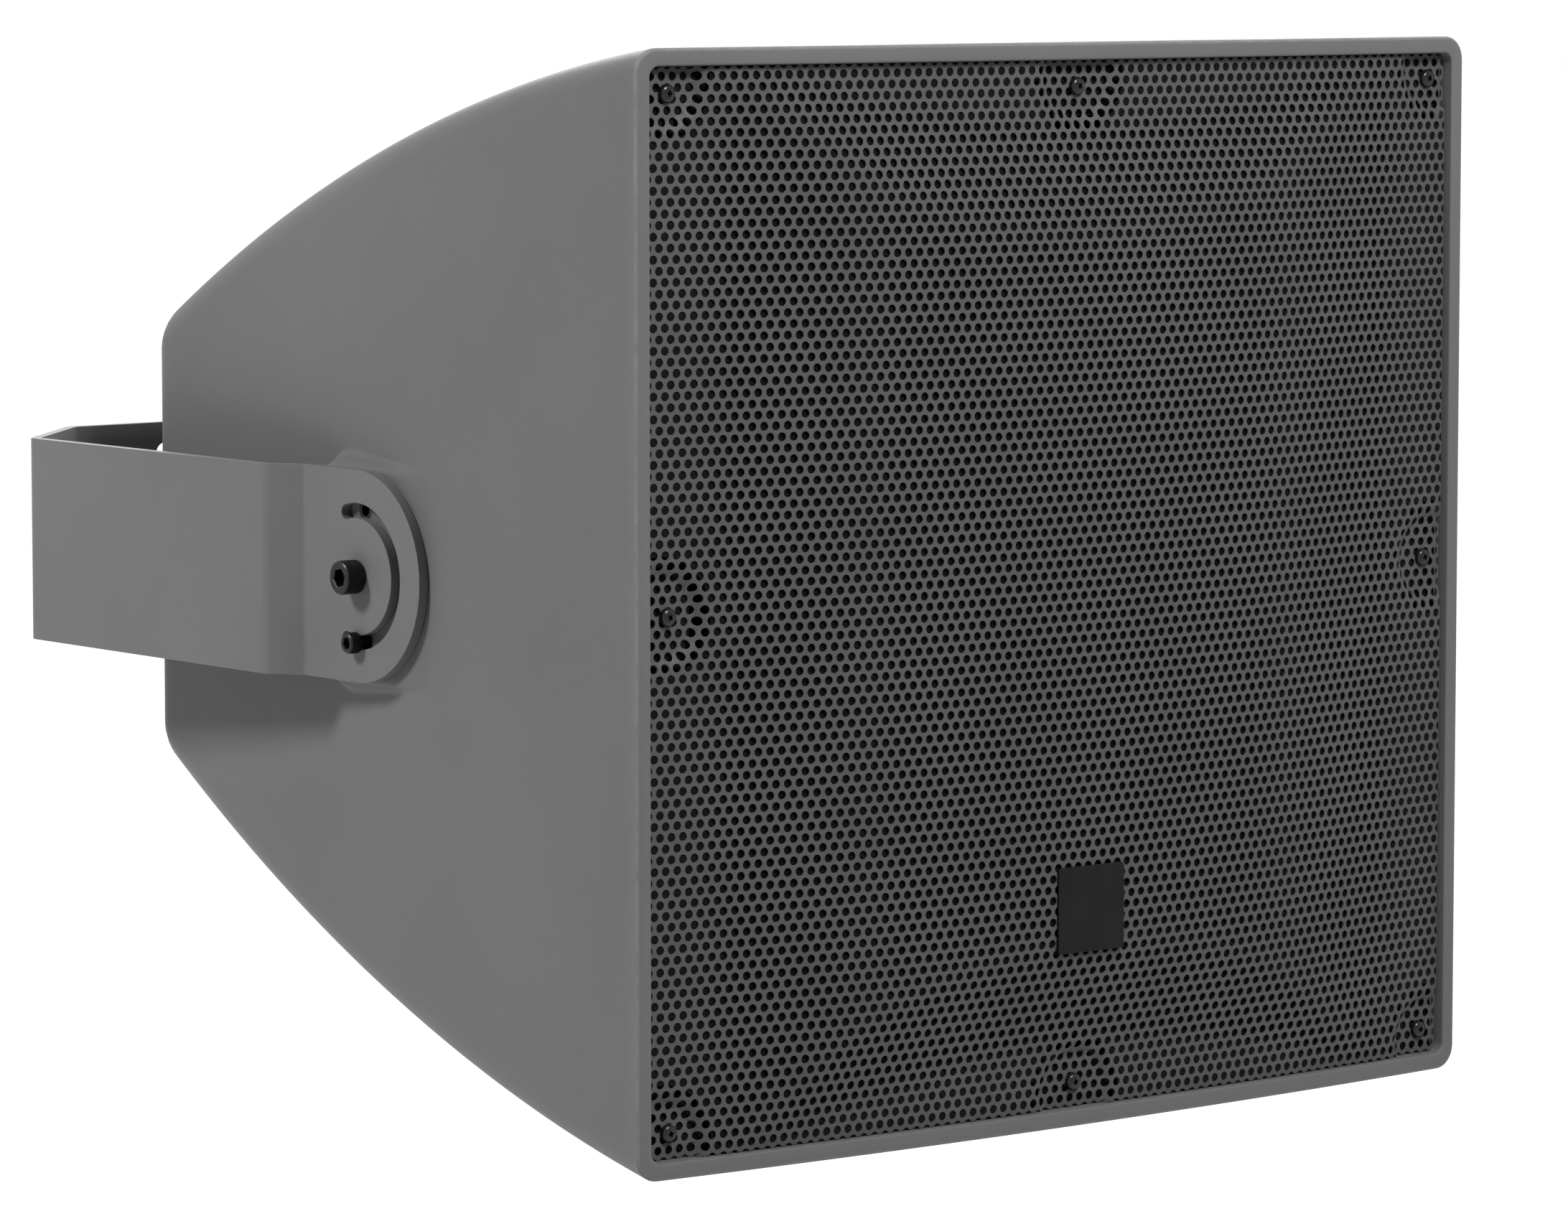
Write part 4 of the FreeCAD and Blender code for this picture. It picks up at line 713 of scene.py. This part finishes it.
def buildSheet():
    # two staggered holes make one cell, repeated both ways, trimmed to the outline and pressed to shape
    cell = bmesh.new()
    for row, shift in ((0, 0.0), (1, sheet["pitchX"] / 2)):
        middle = Vector((shift, 0, row * sheet["pitchZ"]))
        hole = bmesh.ops.create_circle(cell, cap_ends=False, radius=sheet["hole"], segments=sheet["sides"],
                                       matrix=Matrix.Translation(middle) @ faceFront)
        ring = [e for e in cell.edges if all(v in set(hole["verts"]) for v in e.verts)]
        outline = [cell.verts.new(middle + Vector((a * sheet["pitchX"] / 2, 0, b * sheet["pitchZ"] / 2)))
                   for a, b in ((-1, -1), (0, -1), (1, -1), (1, 1), (0, 1), (-1, 1))]
        border = [cell.edges.new((outline[i], outline[(i + 1) % 6])) for i in range(6)]
        bmesh.ops.bridge_loops(cell, edges=ring + border)
    unit = putIn("sheetCell", asMesh(cell, "sheetCell"))
    columns = int(2 * sheet["half"] / sheet["pitchX"]) + sheet["spareColumns"]
    rows = int(sheet["half"] / sheet["pitchZ"]) + sheet["spareRows"]
    for count, move in ((columns, (sheet["pitchX"], 0, 0)), (rows, (0, 0, 2 * sheet["pitchZ"]))):
        repeat = unit.modifiers.new("repeat", "ARRAY")
        repeat.count = count
        repeat.use_relative_offset = False
        repeat.use_constant_offset = True
        repeat.constant_offset_displace = move
    depsgraph = bpy.context.evaluated_depsgraph_get()
    flat = bpy.data.meshes.new_from_object(unit.evaluated_get(depsgraph))
    bpy.data.objects.remove(unit)
    bm = bmesh.new()
    bm.from_mesh(flat)
    bpy.data.meshes.remove(flat)
    centred = (-(columns - 1) / 2 * sheet["pitchX"] + sheet["shift"], 0, -(rows - 0.5) * sheet["pitchZ"])
    bmesh.ops.translate(bm, vec=centred, verts=bm.verts[:])
    bmesh.ops.remove_doubles(bm, verts=bm.verts[:], dist=sheet["weld"])
    for turn in range(0, 360, 90):
        out = Vector((math.cos(math.radians(turn)), 0, math.sin(math.radians(turn))))
        trim(bm, out * sheet["half"], out)
    inner = sheet["half"] - sheet["corner"]
    start = inner - sheet["cornerReach"]
    for a, b in ((-1, -1), (-1, 1), (1, -1), (1, 1)):
        for turn in sheet["cornerCuts"]:
            out = Vector((a * math.cos(math.radians(turn)), 0, b * math.sin(math.radians(turn))))
            near = [v for v in bm.verts if v.co.x * a > start and v.co.z * b > start]
            nearEdges = list({e for v in near for e in v.link_edges})
            nearFaces = list({f for v in near for f in v.link_faces})
            place = Vector((a * inner, 0, b * inner)) + out * sheet["corner"]
            trim(bm, place, out, near + nearEdges + nearFaces)
    for v in bm.verts:
        v.co.y = sheetFront(v.co.x, v.co.z)
    return facingFront(bm)


wholeMesh = asMesh(buildSheet(), "sheetWhole")
bandWidth = 2 * sheet["half"] / sheet["bands"]
for band in range(sheet["bands"]):
    strip = bmesh.new()
    strip.from_mesh(wholeMesh)
    if band > 0:
        trim(strip, (-sheet["half"] + band * bandWidth, 0, 0), (-1, 0, 0))
    if band < sheet["bands"] - 1:
        trim(strip, (-sheet["half"] + (band + 1) * bandWidth, 0, 0), (1, 0, 0))
    strip.normal_update()
    panel = placePiece(strip, "grilleSheet%d" % (band + 1), "cabinet", grillePaint,
                       ["grille"], sharpAngle=40)
    crisp = bmesh.new()  # the holes' edges stay sharp
    crisp.from_mesh(panel.data)
    for e in crisp.edges:
        if e.is_boundary:
            e.smooth = False
    crisp.to_mesh(panel.data)
    crisp.free()
    thicken(panel, "sheetThickness", sheet["thick"])
    print("grille sheet", band + 1, "has", len(panel.data.polygons), "faces")
bpy.data.meshes.remove(wholeMesh)


# black foam strip on the flange behind the sheet's edge: a dark sheet that paints the shade seen through the
# edge holes
shadeStrip = {"inner": 214.0, "outer": 241.0, "front": 8.2, "thick": 0.5, "cuts": 60}


def buildShadeStrip():
    bm = bmesh.new()
    bmesh.ops.create_grid(bm, x_segments=shadeStrip["cuts"], y_segments=shadeStrip["cuts"],
                          size=shadeStrip["outer"], matrix=faceFront)
    centres = [(f, f.calc_center_median()) for f in bm.faces]
    middle = [f for f, centre in centres if max(abs(centre.x), abs(centre.z)) < shadeStrip["inner"]]
    bmesh.ops.delete(bm, geom=middle, context="FACES")
    for v in bm.verts:
        v.co.y = bowAt(v.co.x) + shadeStrip["front"]
    return facingFront(bm)


# this black strip paints the shade seen through the holes near the sheet's edge
shadeFoam = placePiece(buildShadeStrip(), "shadeFoamStrip", "cabinet", blackFoam, [])
thicken(shadeFoam, "stripThickness", shadeStrip["thick"])
print("edge foam strip laid")


# pan head screws with cross recesses that hold the grille
panScrew = {
    "head": 4.2, "high": 3.0, "shank": 2.0, "long": 9.0, "tip": 0.4, "tipLong": 0.6, "edge": 0.15,
    "edgeHigh": 0.2, "dome": ((1.0, 0.38), (0.95, 0.62), (0.82, 0.84), (0.6, 0.96), (0.3, 1.0), (0.0, 1.0)),
    "sides": 32, "cross": 4.4, "slot": 1.1, "crossDeep": 1.7, "crossTaper": 0.35, "turnFrom": 17,
    "turnStep": 31,
}


def lathe(bm, profile, steps):
    # profile points are (radius, height), turned about Z
    verts = [bm.verts.new((r, 0, h)) for r, h in profile]
    edges = [bm.edges.new(pair) for pair in zip(verts, verts[1:])]
    bmesh.ops.spin(bm, geom=verts + edges, cent=(0, 0, 0), axis=(0, 0, 1), angle=2 * math.pi, steps=steps,
                   use_merge=True)
    bmesh.ops.remove_doubles(bm, verts=bm.verts[:], dist=nearby)
    bmesh.ops.recalc_face_normals(bm, faces=bm.faces[:])


def carve(bm, cutter):
    # takes one closed shape out of another and gives the result back as a new bmesh
    shapes = [putIn("carving", asMesh(shape, "carving")) for shape in (bm, cutter)]
    taken = shapes[0].modifiers.new("taken", "BOOLEAN")
    taken.object = shapes[1]
    taken.operation = "DIFFERENCE"
    taken.solver = "EXACT"
    taken.use_self = True
    depsgraph = bpy.context.evaluated_depsgraph_get()
    result = bpy.data.meshes.new_from_object(shapes[0].evaluated_get(depsgraph))
    fresh = bmesh.new()
    fresh.from_mesh(result)
    for item in shapes:
        mesh = item.data
        bpy.data.objects.remove(item)
        bpy.data.meshes.remove(mesh)
    bpy.data.meshes.remove(result)
    return fresh


def crossHead():
    # head upright on Z, its seat at zero
    bm = bmesh.new()
    r = panScrew["head"]
    h = panScrew["high"]
    shank = panScrew["shank"]
    tip = -panScrew["long"]
    profile = [(0, tip), (shank - panScrew["tip"], tip), (shank, tip + panScrew["tipLong"]), (shank, 0),
               (r - panScrew["edge"], 0), (r, panScrew["edgeHigh"])]
    profile += [(r * wide, h * high) for wide, high in panScrew["dome"]]
    lathe(bm, profile, panScrew["sides"])
    cutter = bmesh.new()
    for turn in (0, 90):
        bar = bmesh.ops.create_cube(cutter, size=1)["verts"]
        size = (panScrew["cross"], panScrew["slot"], 2 * panScrew["crossDeep"])
        bmesh.ops.scale(cutter, vec=size, verts=bar)
        bmesh.ops.translate(cutter, vec=(0, 0, h), verts=bar)
        for v in bar:
            if v.co.z < h:
                v.co.x *= panScrew["crossTaper"]
        spin = Matrix.Rotation(math.radians(turn), 3, "Z")
        bmesh.ops.rotate(cutter, cent=(0, 0, 0), matrix=spin, verts=bar)
    return carve(bm, cutter)


def addCopy(bm, sourceMesh, matrix):
    # adds a turned and placed copy of a finished small part
    before = len(bm.verts)
    bm.from_mesh(sourceMesh)
    bm.verts.ensure_lookup_table()
    bmesh.ops.transform(bm, matrix=matrix, verts=bm.verts[before:])


screwMesh = asMesh(crossHead(), "crossHead")
screws = bmesh.new()
for index, (a, b) in enumerate(seatPlaces):
    seat = bowAt(a * sheet["seatRun"]) + sheet["seatDrop"]
    place = Matrix.Translation((a * sheet["seatRun"], seat, b * sheet["seatRun"]))
    spin = Matrix.Rotation(math.radians(panScrew["turnFrom"] + panScrew["turnStep"] * index), 4, "Z")
    addCopy(screws, screwMesh, place @ faceFront @ spin)
placePiece(screws, "grilleScrewHeads", "cabinet", screwBlack, ["grille_screws"])

# the same screws, a little smaller, hold the connection plate
plateScrew = {
    "y": -67.0, "x": 58.5, "z": 38.5, "turnFrom": 40, "turnStep": 23, "shrink": (0.95, 0.95, 0.87, 1),
}
rearScrews = bmesh.new()
for index, (a, b) in enumerate([(a, b) for b in (1, -1) for a in (-1, 0, 1)]):
    place = Matrix.Translation((a * plateScrew["x"], plateScrew["y"], b * plateScrew["z"]))
    spin = Matrix.Rotation(math.radians(plateScrew["turnFrom"] + plateScrew["turnStep"] * index), 4, "Z")
    addCopy(rearScrews, screwMesh, place @ faceBack @ spin @ Matrix.Diagonal(plateScrew["shrink"]))
placePiece(rearScrews, "plateScrewHeads", "cabinet", blackSteel, ["plate_screws"])
bpy.data.meshes.remove(screwMesh)
print("cross head screws placed")


# socket bolts: knurled heads with a hexagon socket; the shoulder runs in from the side and down from the top
boltHead = {
    "sides": 72, "knurl": 0.28, "foot": 0.3, "knurlTop": 1.1, "socketEdge": 1.12, "edgeDeep": 0.35,
    "shoulder": ((0.15, 0.9), (0.3, 0.45), (0.9, 0.0)), "tip": 0.4, "tipDeep": 0.8, "turn": 12,
}


def socketBolt(look):
    bm = bmesh.new()
    count = boltHead["sides"]
    made = bmesh.ops.create_circle(bm, cap_ends=True, radius=look["shank"], segments=count,
                                   matrix=Matrix.Translation((0, 0, -look["grip"])))
    edges = list({e for v in made["verts"] for e in v.link_edges if len(e.link_faces) == 1})
    across = look["socket"] / 2

    def hexRadius(angle):
        return across / math.cos((angle + math.pi / 6) % (math.pi / 3) - math.pi / 6)

    head = look["head"]
    high = look["high"]
    bottom = high - look["socketDeep"]
    steps = [("round", look["shank"], 0), ("round", head - boltHead["foot"], 0),
             ("knurl", head, boltHead["foot"]), ("knurl", head, high - boltHead["knurlTop"])]
    steps += [("round", head - inward, high - down) for inward, down in boltHead["shoulder"]]
    steps += [("hex", boltHead["socketEdge"], high), ("hex", 1.0, high - boltHead["edgeDeep"]),
              ("hex", 1.0, bottom), ("hex", boltHead["tip"], bottom - boltHead["tipDeep"])]
    for kind, size, height in steps:
        edges, verts = extrudeLoop(bm, edges)
        for v in verts:
            angle = math.atan2(v.co.y, v.co.x)
            tooth = round(angle / (2 * math.pi / count))
            radius = size
            if kind == "knurl":
                radius = size - (boltHead["knurl"] if tooth % 2 else 0.0)
            if kind == "hex":
                radius = size * hexRadius(angle)
            v.co = (radius * math.cos(angle), radius * math.sin(angle), height)
    bmesh.ops.edgeloop_fill(bm, edges=edges)
    bmesh.ops.recalc_face_normals(bm, faces=bm.faces[:])
    return asMesh(bm, "socketBolt")


pivotBolt = {
    "shank": 5.0, "grip": 23.6, "head": 8.0, "high": 10.0, "socket": 8.0, "socketDeep": 5.0, "seat": 228.0,
}
lockScrew = {
    "shank": 3.0, "grip": 23.6, "head": 5.0, "high": 6.0, "socket": 5.0, "socketDeep": 3.2, "seat": 228.0,
}
for bolt, name, node, height in ((pivotBolt, "pivotSocketBolts", "pivot_bolts", 0),
                                 (lockScrew, "lockSocketScrews", "lock_screws", -pad["lockOrbit"])):
    boltMesh = socketBolt(bolt)
    pair = bmesh.new()
    for side in (-1, 1):
        place = Matrix.Translation((side * bolt["seat"], pad["y"], height))
        outward = Matrix.Rotation(side * math.pi / 2, 4, "Y")
        spin = Matrix.Rotation(math.radians(boltHead["turn"]), 4, "Z")
        addCopy(pair, boltMesh, place @ outward @ spin)
    placePiece(pair, name, "cabinet", blackSteel, [node])
    bpy.data.meshes.remove(boltMesh)
print("clamp bolts placed")


# folded and moulded parts keep their CAD outline and gain softened edges
softEdge = {"weld": 0.002, "flat": 1, "sharp": 35}
softened = {
    "bracket": ("bracketStrip", "bracket", bracketPaint, "bracket_paint", 0.5, 3),
    "connection_plate": ("connectionPlate", "cabinet", bracketPaint, "bracket_paint", 0.6, 3),
    "gland_body": ("glandBody", "cabinet", blackPlastic, "black_plastic", 0.4, 2),
    "gland_nut": ("glandNut", "cabinet", blackPlastic, "black_plastic", 0.5, 2),
    "badge_plate": ("badgePlate", "cabinet", badgeDark, "badge_dark", 0.35, 3),
}
for node, (name, body, finish, slotName, width, segments) in softened.items():
    bm = bmesh.new()
    bm.from_mesh(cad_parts[node].data)
    bmesh.ops.scale(bm, vec=(1000, 1000, 1000), verts=bm.verts[:])
    bmesh.ops.remove_doubles(bm, verts=bm.verts[:], dist=softEdge["weld"])
    bmesh.ops.dissolve_limit(bm, angle_limit=math.radians(softEdge["flat"]), verts=bm.verts[:],
                             edges=bm.edges[:])
    piece = placePiece(bm, name, body, finish, [node])
    soft = piece.modifiers.new("softEdges", "BEVEL")
    soft.width = width / 1000
    soft.segments = segments
    soft.limit_method = "ANGLE"
    soft.angle_limit = math.radians(softEdge["sharp"])
    soft.harden_normals = True
print("softened", len(softened), "parts")


# the driver's soft rings, cut into sectors
softRings = {
    "spider": ("spiderSector", spiderCloth, "spider_cloth", "voice_coil_former"),
    "surround": ("surroundSector", blackRubber, "black_rubber", "cone"),
}
ringCut = {"sectors": 8, "weld": 0.000002, "near": 0.000001, "sharp": 30}  # weld and near are metres here
sectors = ringCut["sectors"]
for node, (name, finish, slotName, held) in softRings.items():
    low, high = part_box(node)
    centre = Vector(((low[0] + high[0]) / 2, (low[1] + high[1]) / 2, (low[2] + high[2]) / 2))
    for sector in range(sectors):
        ring = bmesh.new()
        ring.from_mesh(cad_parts[node].data)
        bmesh.ops.remove_doubles(ring, verts=ring.verts[:], dist=ringCut["weld"])
        middle = 2 * math.pi * sector / sectors
        for way in (-1, 1):
            angle = middle + way * math.pi / 2 + way * math.pi / sectors
            out = Vector((math.cos(angle), 0, math.sin(angle)))
            bmesh.ops.edgeloop_fill(ring, edges=trim(ring, centre, out, dist=ringCut["near"]))
        bmesh.ops.recalc_face_normals(ring, faces=ring.faces[:])
        piece = meshPiece(ring, "%s%d" % (name, sector + 1), finish, ringCut["sharp"])
        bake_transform(piece)
        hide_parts(node)
print("soft rings cut into", sectors, "sectors each")


# pale floor below the hanging speaker, white to the camera but still holding its shadow
floor = {
    "z": -1.1, "half": 60.0, "sides": 96, "colour": 0.82, "rough": 0.9, "gloss": 0.1, "nearGlow": 0.3,
    "farGlow": 1.0, "near": 1.0, "far": 3.2,
}


def seenBy(tree):
    # one for the camera, for reflections and through clear pieces, nought for plain bounced light
    path = tree.nodes.new("ShaderNodeLightPath")
    seen = path.outputs["Is Camera Ray"]
    for kind in ("Is Transmission Ray", "Is Glossy Ray"):
        either = tree.nodes.new("ShaderNodeMath")
        either.operation = "MAXIMUM"
        tree.links.new(seen, either.inputs[0])
        tree.links.new(path.outputs[kind], either.inputs[1])
        seen = either.outputs[0]
    return seen


def buildFloor():
    bm = bmesh.new()
    bmesh.ops.create_circle(bm, cap_ends=True, radius=floor["half"], segments=floor["sides"],
                            matrix=Matrix.Translation((0, 0, floor["z"])))
    mesh = asMesh(bm, "paleFloor")
    ground = putIn("paleFloor", mesh)
    pale = bpy.data.materials.new("paleGround")
    pale.use_nodes = True
    tree = pale.node_tree
    shader = tree.nodes["Principled BSDF"]
    shader.inputs["Base Color"].default_value = (floor["colour"],) * 3 + (1,)
    shader.inputs["Roughness"].default_value = floor["rough"]
    shader.inputs["Specular IOR Level"].default_value = floor["gloss"]
    shader.inputs["Emission Color"].default_value = (1, 1, 1, 1)
    seen = tree.nodes.new("ShaderNodeMath")
    seen.operation = "MULTIPLY"
    away = tree.nodes.new("ShaderNodeVectorMath")
    away.operation = "LENGTH"
    tree.links.new(tree.nodes.new("ShaderNodeTexCoord").outputs["Object"], away.inputs[0])
    glow = spread(tree, away.outputs["Value"], floor["nearGlow"], floor["farGlow"], floor["near"],
                  floor["far"])
    tree.links.new(seenBy(tree), seen.inputs[0])
    tree.links.new(glow, seen.inputs[1])
    tree.links.new(seen.outputs[0], shader.inputs["Emission Strength"])
    mesh.materials.append(pale)


buildFloor()


# plain studio light
studio = {"ambient": 0.02, "seen": 1.0}


def buildWorld():
    world = bpy.data.worlds.new("studioWorld")
    world.use_nodes = True
    scene.world = world
    tree = world.node_tree
    sky = tree.nodes["Background"]
    sky.inputs["Color"].default_value = (1, 1, 1, 1)
    level = tree.nodes.new("ShaderNodeMapRange")
    level.inputs["To Min"].default_value = studio["ambient"]
    level.inputs["To Max"].default_value = studio["seen"]
    tree.links.new(seenBy(tree), level.inputs["Value"])
    tree.links.new(level.outputs["Result"], sky.inputs["Strength"])


buildWorld()

lamps = {
    "sidePanel": {"place": (-2.2, 0.35, 1.8), "aim": (0, -0.4, 0), "size": (0.6, 0.6), "power": 55},
    "lowPanel": {"place": (-2.2, 0.05, -1.0), "aim": (0, -0.4, 0), "size": (0.9, 0.9), "power": 7},
    "frontPanel": {"place": (-0.1, -2.0, 1.4), "aim": (0, -0.4, 0), "size": (0.7, 0.7), "power": 38},
    "rearPanel": {"place": (1.6, 2.8, 2.0), "aim": (0, -0.2, 0), "size": (1.4, 1.4), "power": 44},
    "rightPanel": {"place": (2.5, 0.3, 1.3), "aim": (0, -0.2, 0), "size": (1.0, 1.0), "power": 26},
}
for name, look in lamps.items():
    lamp = bpy.data.lights.new(name, "AREA")
    lamp.shape = "RECTANGLE"
    lamp.size, lamp.size_y = look["size"]
    lamp.energy = look["power"]
    holder = putIn(name, lamp)
    holder.location = look["place"]
    beam = Vector(look["aim"]) - Vector(look["place"])
    holder.rotation_euler = beam.to_track_quat("-Z", "Y").to_euler()
print("floor and lamps ready")

# camera where the photograph was taken from
viewpoint = {
    "place": (-2.0644, -2.9252, 0.3058), "azimuth": -38.748, "elevation": 5.7085, "lens": 157.1,
    "sensor": 36, "farClip": 200,
}
azimuth = math.radians(viewpoint["azimuth"])
elevation = math.radians(viewpoint["elevation"])
level = math.cos(elevation)
back = Vector((math.sin(azimuth) * level, -math.cos(azimuth) * level, math.sin(elevation)))
camera = bpy.data.cameras.new("photoCamera")
camera.lens = viewpoint["lens"]
camera.sensor_width = viewpoint["sensor"]
camera.clip_end = viewpoint["farClip"]
cameraHolder = putIn("photoCamera", camera)
cameraHolder.location = viewpoint["place"]
cameraHolder.rotation_euler = (-back).to_track_quat("-Z", "Y").to_euler()
scene.camera = cameraHolder
print("camera set")

bpy.context.view_layer.update()
